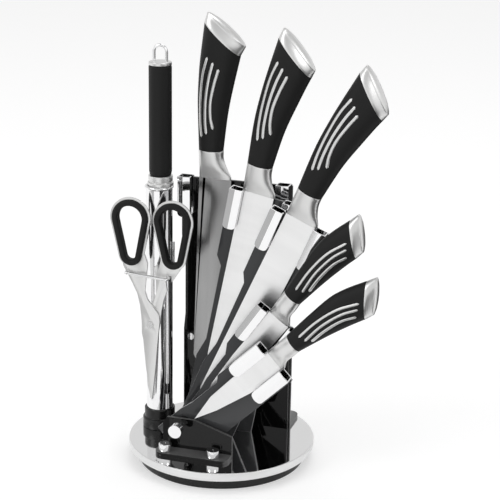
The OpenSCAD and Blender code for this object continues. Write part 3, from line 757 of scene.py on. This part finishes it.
LARGE = KnifePattern(
    left=((26.0, -0.8), (56.0, -2.5), (70.0, -2.8), (86.0, -2.2), (105.0, -0.8), (141.5, 3.2)),
    right=((26.0, 21.8), (56.0, 25.0), (70.0, 27.5), (86.0, 31.3), (105.0, 36.0), (114.0, 38.6)),
    joint_left=(3.2, 141.5), joint_right=(38.6, 114.0), end_left=(5.4, 149.4), end_right=(40.2, 120.0),
    bolster_l=26.0, heel_w=30.0, half_t=11.0,
    strips=(((3.8, 47.3), (2.0, 62.0), (1.6, 81.5), (3.3, 104.3), (7.6, 121.1)),
            ((8.5, 50.6), (7.0, 63.6), (7.1, 83.5), (9.6, 102.3), (13.3, 116.8)),
            ((14.7, 55.7), (12.1, 66.4), (11.7, 80.6), (14.6, 96.4), (18.6, 111.0))))
SMALL = KnifePattern(
    left=((24.5, -1.7), (57.0, -5.0), (79.0, -6.3), (95.0, -4.0), (113.5, 1.0)),
    right=((24.5, 16.0), (57.0, 20.0), (79.0, 23.8), (91.3, 26.5)),
    joint_left=(1.0, 113.5), joint_right=(26.5, 91.3), end_left=(3.2, 122.6), end_right=(27.4, 98.6),
    bolster_l=24.5, heel_w=21.0, half_t=9.3,
    strips=(((5.1, 34.5), (3.3, 57.1), (5.2, 79.5), (11.9, 99.3)),
            ((10.7, 36.9), (8.6, 58.4), (10.6, 79.9), (15.6, 95.1)),
            ((14.7, 41.2), (13.7, 57.7), (15.2, 76.1), (19.9, 89.3))), strip_w=2.5, dome=1.8)

CHEF = replace(
    LARGE,
    left=((26.0, -0.8), (56.0, -2.7), (70.0, -3.4), (86.0, -3.4), (105.0, -2.6), (141.5, 0.8)),
    right=((26.0, 21.3), (56.0, 24.0), (70.0, 25.9), (86.0, 28.8), (105.0, 32.6), (113.5, 34.4)),
    joint_left=(0.8, 141.5), joint_right=(34.4, 113.5), end_left=(2.6, 148.8), end_right=(38.6, 121.5))


@dataclass
class Knife:
    """One knife, drawn across and along its blade from the heel of its spine."""

    bench: Bench
    name: str
    pattern: KnifePattern
    strip_shift: float = 0.0
    strip_side: float = 0.0
    # changes to the blade's finish; the chef's carries painted shade for its dark reflections
    blade_look_and_shade: dict[str, object] = field(default_factory=dict)
    rings: int = 26
    grip_fullness: float = 2.2
    place: Matrix = field(init=False)
    tilt: float = field(init=False)

    def __post_init__(self) -> None:
        """Finds the heel point and the tilt from the frame."""
        along = Vector(self.bench.joints[f"{self.name}_knife"]["axis"]).normalized()
        across = Vector((along.z, 0.0, -along.x))
        self.tilt = math.atan2(along.x, along.z)
        spine = min(v.co @ across for v in frame["nodes"][f"{self.name}_blade"].data.vertices)
        heel = min(v.co @ along for v in frame["nodes"][f"{self.name}_bolster"].data.vertices)
        start = across * spine + along * heel
        start.y = self.bench.middle(f"{self.name}_blade").y
        self.place = Matrix.Translation(start) @ Matrix.Rotation(self.tilt, 4, "Y")

    def build(self) -> None:
        """Makes all pieces of the knife."""
        self._blade()
        self._bolster()
        self._grip()
        self._inlays()
        self._pommel()

    def _section(self, left: Point, right: Point, half: float) -> Matrix:
        """Where a ring goes: its width from the left to the right point, its half thickness in Y.

        Args:
            left: The ring's left point, in millimetres from the heel.
            right: Its right point.
            half: Its half thickness in Y, in millimetres.

        Returns:
            The matrix that puts a unit circle there.
        """
        a, b = Vector((left[0], 0, left[1])) * MM, Vector((right[0], 0, right[1])) * MM
        wide, middle = (b - a) / 2, (a + b) / 2
        out = wide.cross(Vector((0, 1, 0))).normalized()
        return Matrix(((wide.x, 0, out.x, middle.x), (0, half * MM, 0, 0),
                       (wide.z, 0, out.z, middle.z), (0, 0, 0, 1)))

    def _edges(self, t: float) -> tuple[Point, Point]:
        """The grip's left and right edge points, t from 0 at the bolster to 1 at the pommel.

        Args:
            t: 0 at the bolster, 1 at the pommel.

        Returns:
            The grip's left and right edge points.
        """
        p = self.pattern
        s_left = p.bolster_l + (p.joint_left[1] - p.bolster_l) * t
        s_right = p.bolster_l + (p.joint_right[1] - p.bolster_l) * t
        return (Fair(p.left).at(s_left), s_left), (Fair(p.right).at(s_right), s_right)

    def _half(self, t: float) -> float:
        """The grip's half thickness: slim at the bolster, full at the palm."""
        return Fair(((0.0, 0.82), (0.35, 0.88), (0.75, 0.97), (1.0, 1.0))).at(t) * self.pattern.half_t

    def _surface(self, w: float, s: float, brim: float = 0.99) -> float:
        """The grip's half thickness at one place on its side.

        Args:
            w: The place across the blade, in millimetres from the heel.
            s: The place along it.
            brim: How far out the side still counts, as a share of the half width.

        Returns:
            The half thickness, in millimetres.
        """
        p = self.pattern
        left, right = Fair(p.left).at(s), Fair(p.right).at(s)
        t = (s - p.bolster_l) / (0.5 * (p.joint_left[1] + p.joint_right[1]) - p.bolster_l)
        off = min(abs(2 * (w - left) / (right - left) - 1), brim)
        return self._half(min(t, 1.0)) * (1 - off**self.grip_fullness) ** (1 / self.grip_fullness)

    def _grip(self, lip_size: float = 0.95, run_in: float = 0.15) -> None:
        """The soft sleeve, with a small rolled lip at each end.

        Args:
            lip_size: The end faces' size, as a share of the sleeve there.
            run_in: How far the first ring stands back toward the second.
        """
        places = []
        for k in range(self.rings):
            t = k / (self.rings - 1)
            left, right = self._edges(t)
            places.append(self._section(left, right, self._half(t)))
        lip = Matrix.Diagonal((lip_size, lip_size, 1.0, 1.0))
        first, last = places[0] @ lip, places[-1] @ lip
        places[0] = places[0].lerp(places[1], run_in)
        mould = Mould().loft([first, *places, last], self.grip_fullness, steps=56)
        self._finish(mould, "grip", smooth_to=50.0)

    def _inlays(self) -> None:
        """Three bright strips let into each side of the grip."""
        for side in (-1, 1):
            for k, strip in enumerate(self.pattern.strips):
                mould = Mould()
                self._strip(mould, strip, side)
                label = f"inlay_{'front' if side < 0 else 'back'}_{k + 1}"
                piece = mould.move(self.place).piece(f"{self.name}_{label}", smooth_to=60.0)
                self.bench.fit(piece, f"{self.name}_pommel", stands_for=False)

    def _strip(self, mould: Mould, strip: Sequence[Point], side: int, rows: int = 34, columns: int = 6,
               proud: float = 0.45, sunk: float = 0.12, deep: float = 0.6, tip: float = 0.02) -> None:
        """One strip: a grid bent along its line and laid on the grip, domed, with round ends.

        Args:
            mould: The mould that it goes into.
            strip: Its middle line, across and along the blade.
            side: -1 for the grip's front, 1 for its back.
            rows: Faces along it.
            columns: Faces across it.
            proud: How high its middle stands, in millimetres.
            sunk: How far its rim is let into the grip.
            deep: How thick it is.
            tip: The width at its very ends, as a share of the full one.
        """
        made = bmesh.ops.create_grid(mould.bm, x_segments=columns, y_segments=rows, size=1.0)["verts"]
        line = Fair([(s + self.strip_shift, w + self.strip_side) for w, s in strip])
        low, high = strip[0][1] + self.strip_shift, strip[-1][1] + self.strip_shift
        radius = self.pattern.strip_w / 2
        for vert in made:
            a, b = vert.co.x, (vert.co.y + 1) / 2
            s = low + (high - low) * b
            from_end = min(s - low, high - s)
            wide = radius * math.sqrt(max(1 - max(1 - from_end / radius, 0) ** 2, tip**2))
            slope = line.at(s + 0.5) - line.at(s - 0.5)
            across = Vector((1.0, -slope)).normalized()
            w = line.at(s) + a * wide * across.x
            s += a * wide * across.y
            dome = proud * (1 - a**2) * min(1.0, wide / radius)
            vert.co = Vector((w, side * (self._surface(w, s) + dome - sunk), s)) * MM
        bmesh.ops.recalc_face_normals(mould.bm, faces=mould.bm.faces)
        grown = bmesh.ops.extrude_face_region(mould.bm, geom=list(mould.bm.faces), use_keep_orig=True)
        back = [part for part in grown["geom"] if isinstance(part, bmesh.types.BMVert)]
        bmesh.ops.translate(mould.bm, vec=(0, -side * deep * MM, 0), verts=back)

    def _pommel(self, rows: int = 8) -> None:
        """The end cap: a band that slopes in from the slanted joint to a crease, and a low dome.

        Args:
            rows: Rings along the band.
        """
        p = self.pattern
        band = Fair(((0.0, 1.0), (0.2, 0.985), (0.55, 0.86), (1.0, 0.64)))
        dome = ((0.985, 0.35), (0.9, 0.75), (0.66, 1.35), (0.34, 1.7))
        places = []
        for k in range(rows + 1):
            t = k / rows
            left = Vector(p.joint_left).lerp(Vector(p.end_left), t)
            right = Vector(p.joint_right).lerp(Vector(p.end_right), t)
            places.append(self._section(tuple(left), tuple(right), band.at(t) * self._half(1.0)))
        crease = places[-1]
        for size, rise in dome:
            shrink = Matrix.Diagonal((size, size, 1.0, 1.0))
            places.append(crease @ Matrix.Translation((0, 0, rise * p.dome * MM)) @ shrink)
        self._finish(Mould().loft(places, self.grip_fullness, steps=64), "pommel", smooth_to=22.0)

    def _bolster(self, rows: int = 14, gap: float = 0.1, tuck: float = 0.4) -> None:
        """The bolster: thin at the blade, swept out to the heel and full at the grip.

        Args:
            rows: Rings along it.
            gap: How far above the heel it starts, in millimetres.
            tuck: How much longer it is than the drawn part.
        """
        p = self.pattern
        grip_right = p.right[0][1]
        heel = Fair(((0.0, p.heel_w), (0.12, p.heel_w - 0.2), (0.35, p.heel_w - 4.0),
                     (0.7, grip_right + 0.6), (1.0, grip_right)))
        thick = Fair(((0.0, 1.5), (0.12, 2.4), (0.4, 5.6), (0.75, 0.84 * self._half(0.0)),
                      (1.0, 0.97 * self._half(0.0))))
        places = []
        for k in range(rows + 1):
            t = k / rows
            s = gap + (p.bolster_l + tuck) * t
            places.append(self._section((p.left[0][1] * t, s), (heel.at(t), s), thick.at(t)))
        mould = Mould().loft(places, fullness=2.6, steps=56)
        mould.bevel(0.3 * MM, degrees=50.0)
        self._finish(mould, "bolster", smooth_to=50.0)

    def _blade(self, cuts: int = 5, tang: float = 0.5 * MM, edge: float = 0.12, spine: float = 0.2) -> None:
        """The blade, ground thinner from its spine to its edge.

        Args:
            cuts: Parts of its width that are ground by themselves.
            tang: Above this height from the heel nothing is ground.
            edge: The edge's thickness, as a share of the spine's.
            spine: The part of the width that keeps its full thickness.
        """
        mould = Mould().copy_of(f"{self.name}_blade", self.place.inverted())
        width = max(v.co.x for v in mould.bm.verts)
        for k in range(1, cuts):
            bmesh.ops.bisect_plane(mould.bm, geom=mould.bm.verts[:] + mould.bm.edges[:] + mould.bm.faces[:],
                                   plane_co=(width * k / cuts, 0, 0), plane_no=(1, 0, 0))
        for vert in mould.bm.verts:
            if vert.co.z < tang:
                left = max(0.0, (width - vert.co.x) / width)
                vert.co.y *= edge + (1 - edge) * min(1.0, left / (1 - spine))
        finish = FINISHES[Slot.BLADE_STEEL]
        # for the chef this swaps in a darker colour and heavier streak shading, painted shade for the
        # blade's dark reflections
        turned = replace(finish, name=f"{finish.name}, {self.name}", tilt=self.tilt, **self.blade_look_and_shade)
        piece = mould.move(self.place).piece(f"{self.name}_ground_blade", smooth_to=25.0)
        self.bench.fit(piece, f"{self.name}_blade", turned)

    def _finish(self, mould: Mould, part: str, smooth_to: float) -> None:
        """Puts a mould in place and lets it stand for the CAD node of the same part.

        Args:
            mould: The finished mould, in the knife's own frame.
            part: The part's name in the CAD node.
            smooth_to: Faces that meet at less than this angle are shaded as one surface.
        """
        piece = mould.move(self.place).piece(f"{self.name}_shaped_{part}", smooth_to)
        self.bench.fit(piece, f"{self.name}_{part}")


# ---------------------------------------------------------------- turned parts


@dataclass
class Turned:
    """Turned and moulded round parts of the stand and of the steel."""

    bench: Bench
    steps: int = 160

    def build(self) -> None:
        """Makes every round part."""
        self._deck()
        self._base()
        self._tube()
        self._steel()
        self._steel_bolster()
        self._plain("steel_cap", 0.9 * MM)
        self._studs()

    def _turn(self, node: str, profile: Sequence[Point], centre: Vector, smooth_to: float = 32.0) -> None:
        """Spins a profile about a vertical line and lets it stand for a node.

        Args:
            node: The CAD node that it stands for.
            profile: Its closed outline, each point a radius and a height.
            centre: A point on the vertical line.
            smooth_to: Faces that meet at less than this angle are shaded as one surface.
        """
        place = Matrix.Translation((centre.x, centre.y, 0))
        piece = Mould().lathe(profile, self.steps).move(place).piece(f"{node}_turned", smooth_to)
        self.bench.fit(piece, node)

    def _plain(self, node: str, edge: float) -> None:
        """A plain round solid with rounded edges, from its node's box.

        Args:
            node: The CAD node that it stands for.
            edge: The radius of its edges.
        """
        low, high = self.bench.low(node), self.bench.high(node)
        r = (high.x - low.x) / 2
        profile = rounded([(CORE, low.z), (r, low.z), (r, high.z), (CORE, high.z)], edge)
        self._turn(node, profile, (low + high) / 2)

    def _deck(self, sheet: float = 1.5 * MM, lip: float = 3 * MM, steps: int = 6) -> None:
        """The deck: a mirror top with a rolled rim.

        Args:
            sheet: The sheet's thickness.
            lip: How far the rolled rim reaches in.
            steps: Straight pieces in the roll.
        """
        low, high = self.bench.low("deck"), self.bench.high("deck")
        r, under = (high.x - low.x) / 2, high.z - sheet
        rim = rounded([(r, low.z), (r, high.z), (r - lip, high.z)], radius=1.1 * MM, steps=steps)[1:-steps]
        profile = [(r - sheet, low.z), *rim, (CORE, high.z), (CORE, under), (r - sheet, under)]
        self._turn("deck", profile, Vector((0, 0, 0)), smooth_to=25.0)

    def _base(self, floor: float = 5 * MM, wall: float = 4 * MM, well: float = 12 * MM) -> None:
        """The black base with a softly rounded lower edge.

        Args:
            floor: The height of its floor.
            wall: The thickness of its wall.
            well: The radius of the opening at its middle.
        """
        low, high = self.bench.low("base_shell"), self.bench.high("base_shell")
        r, wall_top = (high.x - low.x) / 2, self.bench.low("deck").z
        profile = rounded([(well, low.z), (r, low.z), (r, wall_top), (r - wall, wall_top),
                           (r - wall, floor), (well, floor)], radius=1.2 * MM, steps=4)
        self._turn("base_shell", profile, Vector((0, 0, 0)))

    def _tube(self, wall: float = 1.2 * MM, rim: float = 3.2 * MM, neck: float = 14 * MM,
              slope: float = 0.6 * MM, steps: int = 10) -> None:
        """The tube with its rolled rim, and the stepped socket that it stands in.

        Args:
            wall: The tube's wall.
            rim: The height of its rolled rim.
            neck: The radius of the socket's upper part.
            slope: How much the socket's step rises inward.
            steps: Straight pieces in the roll.
        """
        low, high = self.bench.low("steel_tube"), self.bench.high("steel_tube")
        r, top = (high.x - low.x) / 2 - RIM_SWELL, high.z
        arc = [(r + RIM_SWELL * math.sin(math.pi * k / steps), top - rim * (1 - k / steps))
               for k in range(steps + 1)]
        profile = [(r - wall, low.z), (r, low.z), *arc, (r - wall / 2, top), (r - wall, top - wall / 2)]
        self._turn("steel_tube", profile, (low + high) / 2, smooth_to=45.0)
        low, high = self.bench.low("tube_socket"), self.bench.high("tube_socket")
        wide, step = (high.x - low.x) / 2, low.z + (high.z - low.z) / 2
        profile = rounded([(r, low.z), (wide, low.z), (wide, step), (neck, step + slope), (neck, high.z),
                           (r, high.z)], radius=1.0 * MM, steps=4)
        self._turn("tube_socket", profile, (low + high) / 2)

    def _steel_bolster(self, flange: float = 3.0 * MM, neck: float = 1.4 * MM, ring: float = 0.7 * MM,
                       groove: float = 1.2 * MM) -> None:
        """The steel's bolster: a flange that rests on the tube, a groove and a narrower ring.

        Args:
            flange: The flange's height.
            neck: How deep the groove is.
            ring: How much narrower the ring is than the flange.
            groove: The groove's height.
        """
        low, high = self.bench.low("steel_bolster"), self.bench.high("steel_bolster")
        r, step = (high.x - low.x) / 2, low.z + flange
        shelf = step + groove
        profile = rounded([(CORE, low.z), (r, low.z), (r, step), (r - neck, step), (r - neck, shelf),
                           (r - ring, shelf), (r - ring, high.z), (CORE, high.z)], radius=0.5 * MM, steps=4)
        self._turn("steel_bolster", profile, (low + high) / 2)

    def _steel(self, core: float = 0.1 * MM, foot: float = 0.8 * MM, taper: float = 4 * MM,
               sunk: float = 1.0 * MM, steps: int = 24) -> None:
        """The steel's handle with rounded ends, and the hanging loop.

        Args:
            core: The radius left open at the handle's middle.
            foot: How much narrower the handle is at its foot.
            taper: The height over which it widens.
            sunk: How far the loop's legs go into the cap.
            steps: Straight pieces in the loop's arch.
        """
        low, high = self.bench.low("steel_handle"), self.bench.high("steel_handle")
        r, middle = (high.x - low.x) / 2, (low + high) / 2
        profile = rounded([(core, low.z), (r - foot, low.z), (r, low.z + taper), (r, high.z),
                           (core, high.z)], radius=1.6 * MM)
        self._turn("steel_handle", profile, middle)
        low, high = self.bench.low("steel_loop"), self.bench.high("steel_loop")
        thin = (high.y - low.y) / 2
        reach = (high.x - low.x) / 2 - thin
        centre, crown = (low + high) / 2, high.z - thin - reach
        angles = [math.pi * k / steps for k in range(steps + 1)]
        arch = [Vector((centre.x + reach * math.cos(a), centre.y, crown + reach * math.sin(a)))
                for a in angles]
        feet = [Vector((centre.x + side * reach, centre.y, low.z - sunk)) for side in (1, -1)]
        piece = wire([feet[0], *arch, feet[1]], thin, "hanging_loop_wire")
        self.bench.fit(piece, "steel_loop")

    def _studs(self, r: float = 5.75 * MM, sheet: float = 3 * MM, edge: float = 0.7 * MM) -> None:
        """The four deck studs, each a round cap with rounded edges.

        Args:
            r: The studs' radius.
            sheet: The thickness of the bracket foot that they stand on.
            edge: The radius of their edges.
        """
        low, high = self.bench.low("deck_studs"), self.bench.high("deck_studs")
        middle, foot = (low + high) / 2, self.bench.low("front_bracket").z + sheet
        points = [v.co for v in frame["nodes"]["deck_studs"].data.vertices]
        tops = [point for point in points if high.z - point.z < 0.01 * MM]
        profile = rounded([(CORE, foot), (r, foot), (r, high.z), (CORE, high.z)], edge, steps=4)
        mould = Mould()
        for left, front in product((False, True), repeat=2):
            near = [p for p in tops if (p.x < middle.x) == left and (p.y < middle.y) == front]
            x = (min(p.x for p in near) + max(p.x for p in near)) / 2
            y = (min(p.y for p in near) + max(p.y for p in near)) / 2
            stud = Mould().lathe(profile, steps=64).move(Matrix.Translation((x, y, 0)))
            scratch = bpy.data.meshes.new("stud")
            stud.bm.to_mesh(scratch)
            stud.bm.free()
            mould.bm.from_mesh(scratch)
            bpy.data.meshes.remove(scratch)
        self.bench.fit(mould.piece("deck_studs_turned"), "deck_studs")


# ---------------------------------------------------------------- leaves and guides


@dataclass
class Holder:
    """The acrylic leaves, their blade guides and the bent brackets."""

    bench: Bench
    leaves: int = 5
    skin: float = 1.32 * MM
    ridge: float = 0.46
    ridge_height: float = 0.9 * MM

    def build(self) -> None:
        """Makes the acrylic and chrome pieces of the fan."""
        for node in [f"leaf_{k + 1}" for k in range(self.leaves)]:
            self.bench.fit(softened(node, 0.25 * MM).piece(f"{node}_polished", smooth_to=30.0), node)
        for node in ("rear_bracket", "front_bracket"):
            bracket = softened(node, 0.4 * MM, segments=3)
            self.bench.fit(bracket.piece(f"{node}_polished", smooth_to=30.0), node)
        for k in range(self.leaves):
            self._guides(f"leaf_{k + 1}_guides", self._tilt(f"leaf_{k + 1}"))

    @staticmethod
    def _tilt(leaf: str) -> float:
        """A leaf's tilt, from the direction of its longest edge.

        Args:
            leaf: The leaf's node.

        Returns:
            The tilt in radians, positive to the right.
        """
        mould = Mould().copy_of(leaf)
        edge = max(mould.bm.edges, key=lambda e: e.calc_length())
        way = edge.verts[1].co - edge.verts[0].co
        mould.bm.free()
        return math.atan(way.x / way.z)

    def _guides(self, node: str, tilt: float) -> None:
        """Both guides of a leaf, each with its front folded to a ridge.

        Args:
            node: The CAD node with the two channels.
            tilt: The leaf's tilt, which the channels follow.
        """
        turn = Matrix.Rotation(tilt, 4, "Y")
        mould = Mould().copy_of(node, turn.inverted())
        across = [vert.co.x for vert in mould.bm.verts]
        middle = (min(across) + max(across)) / 2
        for side in (-1, 1):
            verts = [vert for vert in mould.bm.verts if (vert.co.x - middle) * side > 0]
            self._fold(mould, verts)
        mould.bevel(0.25 * MM, degrees=40.0).move(turn)
        self.bench.fit(mould.piece(f"{node}_plated", smooth_to=8.0), node)

    def _fold(self, mould: Mould, verts: Sequence[bmesh.types.BMVert]) -> None:
        """Cuts one channel along its length and pulls the front forward along the cut.

        Args:
            mould: The mould with the channel.
            verts: The channel's points.
        """
        low, high = min(v.co.x for v in verts), max(v.co.x for v in verts)
        front = min(v.co.y for v in verts)
        edges = {edge for vert in verts for edge in vert.link_edges}
        faces = {face for vert in verts for face in vert.link_faces}
        cut = bmesh.ops.bisect_plane(mould.bm, geom=[*verts, *edges, *faces],
                                     plane_co=(low + self.ridge * (high - low), 0, 0), plane_no=(1, 0, 0))
        for part in cut["geom_cut"]:
            if isinstance(part, bmesh.types.BMVert) and part.co.y < front + self.skin:
                part.co.y -= self.ridge_height


# ---------------------------------------------------------------- scissors


@dataclass
class Scissors:
    """The scissors and the wire hook that they hang on."""

    bench: Bench
    wide: float = 17.2 * MM
    narrow: float = 10.3 * MM
    hole_wide: float = 11.4 * MM
    hole_narrow: float = 4.6 * MM
    span: float = 33.5 * MM
    lean: float = math.radians(0.8)
    roundness: float = 2.5 * MM

    def build(self) -> None:
        """Makes both halves, their soft grips and the hook."""
        for node in ("scissor_half_right", "scissor_half_left"):
            self.bench.fit(softened(node, 0.3 * MM).piece(f"{node}_ground", smooth_to=30.0), node)
        for node in ("grip_right", "grip_left"):
            self._grip(node)
        self._hook()

    def _grip(self, node: str) -> None:
        """A soft ring with round edges.

        Args:
            node: The CAD node that it stands for.
        """
        low, high = self.bench.low(node), self.bench.high(node)
        top = Vector((low.x + self.wide, (low.y + high.y) / 2, high.z - self.wide))
        mould = Mould().ring_slab(egg(self.wide, self.narrow, self.span),
                                  egg(self.hole_wide, self.hole_narrow, self.span), high.y - low.y)
        turn = Matrix.Rotation(-self.lean, 4, "Y")
        mould.bevel(self.roundness, segments=5, degrees=50.0).move(Matrix.Translation(top) @ turn)
        self.bench.fit(mould.piece(f"{node}_moulded", smooth_to=60.0), node)

    def _hook(self, wire_r: float = 1.4 * MM, ball_r: float = 2.0 * MM, rise: float = 2.5 * MM,
              turn: float = 1.2 * MM) -> None:
        """The bent wire: a bar in front with a ball at its free end, an arm and a leg on the tube.

        Args:
            wire_r: The wire's radius.
            ball_r: The ball's radius.
            rise: How much the bar rises to its free end.
            turn: How far from a corner the wire's bend begins.
        """
        low, high = self.bench.low("scissor_hook"), self.bench.high("scissor_hook")
        tube = self.bench.middle("steel_tube")
        arm_z, bar_y, arm_x = low.z + wire_r, low.y + ball_r, high.x - wire_r
        leg_x = self.bench.high("steel_tube").x - RIM_SWELL + wire_r
        path = bent_path([(low.x + ball_r, bar_y, arm_z + rise), (arm_x, bar_y, arm_z),
                          (arm_x, tube.y, arm_z), (leg_x, tube.y, arm_z), (leg_x, tube.y, high.z)], turn)
        self.bench.fit(wire(path, wire_r, "scissor_hook_wire"), "scissor_hook")
        ball = Mould()
        bmesh.ops.create_uvsphere(ball.bm, u_segments=24, v_segments=12, radius=ball_r)
        ball.move(Matrix.Translation(path[0]))
        self.bench.fit(ball.piece("scissor_hook_ball", smooth_to=60.0), "scissor_hook", stands_for=False)


# ---------------------------------------------------------------- studio


@dataclass
class Studio:
    """The floor, the light and the camera."""

    distance: float = 1.358
    azimuth: float = math.radians(18.15)
    height: float = 0.6234
    yaw: float = math.radians(-1.007)
    pitch: float = math.radians(17.416)
    roll: float = math.radians(0.8)
    lens: float = 115.2
    floor_size: float = 30.0
    card_height: float = 0.6 * MM
    card_reach: Point = (0.17, 6.0)
    # each card: where it begins and ends, in degrees about the stand, and how bright it looks
    flags: tuple[tuple[float, float, float], ...] = ((-150.0, -117.0, 0.5), (-69.0, -40.0, 0.05),
                                                     (-40.0, -20.0, 0.3), (16.0, 106.0, 0.02))

    def build(self) -> None:
        """Sets up the whole studio."""
        self._camera()
        self._floor()
        for k, (start, end, light) in enumerate(self.flags):
            self._flag(k, math.radians(start), math.radians(end), light)
        self._sky()
        self._lights()
        bpy.context.scene.view_settings.view_transform = "Standard"

    def _camera(self) -> None:
        """The camera, a little above the stand and to its right, turned and tipped by a small angle."""
        data = bpy.data.cameras.new("camera")
        data.lens = self.lens
        data.sensor_width = 36.0
        camera = bpy.data.objects.new("camera", data)
        bpy.context.scene.collection.objects.link(camera)
        camera.location = (self.distance * math.sin(self.azimuth), -self.distance * math.cos(self.azimuth),
                           self.height)
        turn = self.azimuth + self.yaw
        ahead = Vector((-math.sin(turn) * math.cos(self.pitch), math.cos(turn) * math.cos(self.pitch),
                        -math.sin(self.pitch)))
        camera.rotation_mode = "QUATERNION"
        camera.rotation_quaternion = ahead.to_track_quat("-Z", "Y") @ Quaternion((0, 0, 1), self.roll)
        bpy.context.scene.camera = camera

    def _glow(self, name: str, colour: float, glow: float) -> bpy.types.Material:
        """A matt paint with a little light of its own.

        Args:
            name: The paint's name.
            colour: How light it is, from 0 to 1.
            glow: How strongly it shines by itself.

        Returns:
            The material.
        """
        paint = bpy.data.materials.new(name)
        paint.use_nodes = True
        shader = paint.node_tree.nodes["Principled BSDF"]
        set_inputs(shader, {"Base Color": (colour, colour, colour, 1.0), "Roughness": 0.9,
                            "Specular IOR Level": 0.0, "Emission Color": (1.0, 1.0, 1.0, 1.0),
                            "Emission Strength": glow})
        return paint

    def _floor(self) -> None:
        """A plain white floor."""
        mould = Mould()
        bmesh.ops.create_grid(mould.bm, x_segments=1, y_segments=1, size=self.floor_size)
        floor = mould.piece("floor")
        floor.data.materials.append(self._glow("white floor", colour=0.72, glow=0.42))

    def _flag(self, number: int, start: float, end: float, light: float, steps: int = 6) -> None:
        """A dim card low over the floor, seen only in polished metal.

        Args:
            number: The card's number.
            start: Where it begins, as an angle about the stand.
            end: Where it ends.
            light: How bright it looks.
            steps: Straight pieces along its rim.
        """
        mould = Mould()
        rim = [mould.bm.verts.new((far * math.cos(start), far * math.sin(start), self.card_height))
               for far in self.card_reach]
        edge = mould.bm.edges.new(rim)
        bmesh.ops.spin(mould.bm, geom=[*rim, edge], cent=(0, 0, 0), axis=(0, 0, 1), angle=end - start,
                       steps=steps)
        card = mould.piece(f"flag_{number + 1}")
        card.data.materials.append(self._glow(f"flag {number + 1}", colour=0.0, glow=light))
        card.visible_camera = card.visible_diffuse = card.visible_shadow = False

    def _sky(self, low: float = 1.0, high: float = 0.5) -> None:
        """A soft surround that is a little darker overhead.

        Args:
            low: Its brightness at the horizon.
            high: Its brightness high up.
        """
        world = bpy.data.worlds.new("surround")
        bpy.context.scene.world = world
        world.use_nodes = True
        tree = world.node_tree
        back = tree.nodes["Background"]
        place = tree.nodes.new("ShaderNodeTexCoord")
        split = tree.nodes.new("ShaderNodeSeparateXYZ")
        ramp = tree.nodes.new("ShaderNodeMapRange")
        set_inputs(ramp, {"From Max": 0.9, "To Min": low, "To Max": high})
        seen = tree.nodes.new("ShaderNodeLightPath")
        white = tree.nodes.new("ShaderNodeMix")
        set_inputs(white, {"B": 1.0})
        tree.links.new(place.outputs["Generated"], split.inputs[0])
        tree.links.new(split.outputs["Z"], ramp.inputs["Value"])
        tree.links.new(ramp.outputs["Result"], white.inputs["A"])
        tree.links.new(seen.outputs["Is Camera Ray"], white.inputs["Factor"])
        tree.links.new(white.outputs["Result"], back.inputs["Strength"])
        set_inputs(back, {"Color": (1.0, 1.0, 1.0, 1.0)})

    def _lights(self) -> None:
        """Soft boxes at the left, right and top."""
        for name, place, size, power in (("left softbox", (-1.5, -1.5, 1.8), 1.2, 11.0),
                                         ("right softbox", (1.8, -0.9, 1.5), 0.8, 5.0),
                                         ("top softbox", (0.2, 0.5, 2.4), 1.2, 9.0)):
            data = bpy.data.lights.new(name, "AREA")
            data.energy = power
            data.size = size
            light = bpy.data.objects.new(name, data)
            bpy.context.scene.collection.objects.link(light)
            light.location = place
            light.rotation_mode = "QUATERNION"
            light.rotation_quaternion = (Vector((0, 0, 0.2)) - Vector(place)).to_track_quat("-Z", "Y")


def knives(bench: Bench) -> Iterable[Knife]:
    """The five knives, rearmost first."""
    return [Knife(bench, "chef", CHEF, strip_shift=-9.0, strip_side=-0.6, blade_look_and_shade=CHEF_BLADE_PAINTED_SHADE),
            Knife(bench, "carving", LARGE, strip_shift=1.5, strip_side=1.6),
            Knife(bench, "bread", LARGE, strip_side=0.6),
            Knife(bench, "utility", SMALL), Knife(bench, "paring", SMALL)]


def main() -> None:
    """Builds the stand and everything on it, then the studio."""
    logging.basicConfig(level=logging.INFO, format="%(name)s: %(message)s")
    bench = Bench()
    Studio().build()
    for knife in knives(bench):
        knife.build()
    Turned(bench).build()
    Holder(bench).build()
    Scissors(bench).build()
    bench.dress_the_rest()


if __name__ == "__main__":
    main()
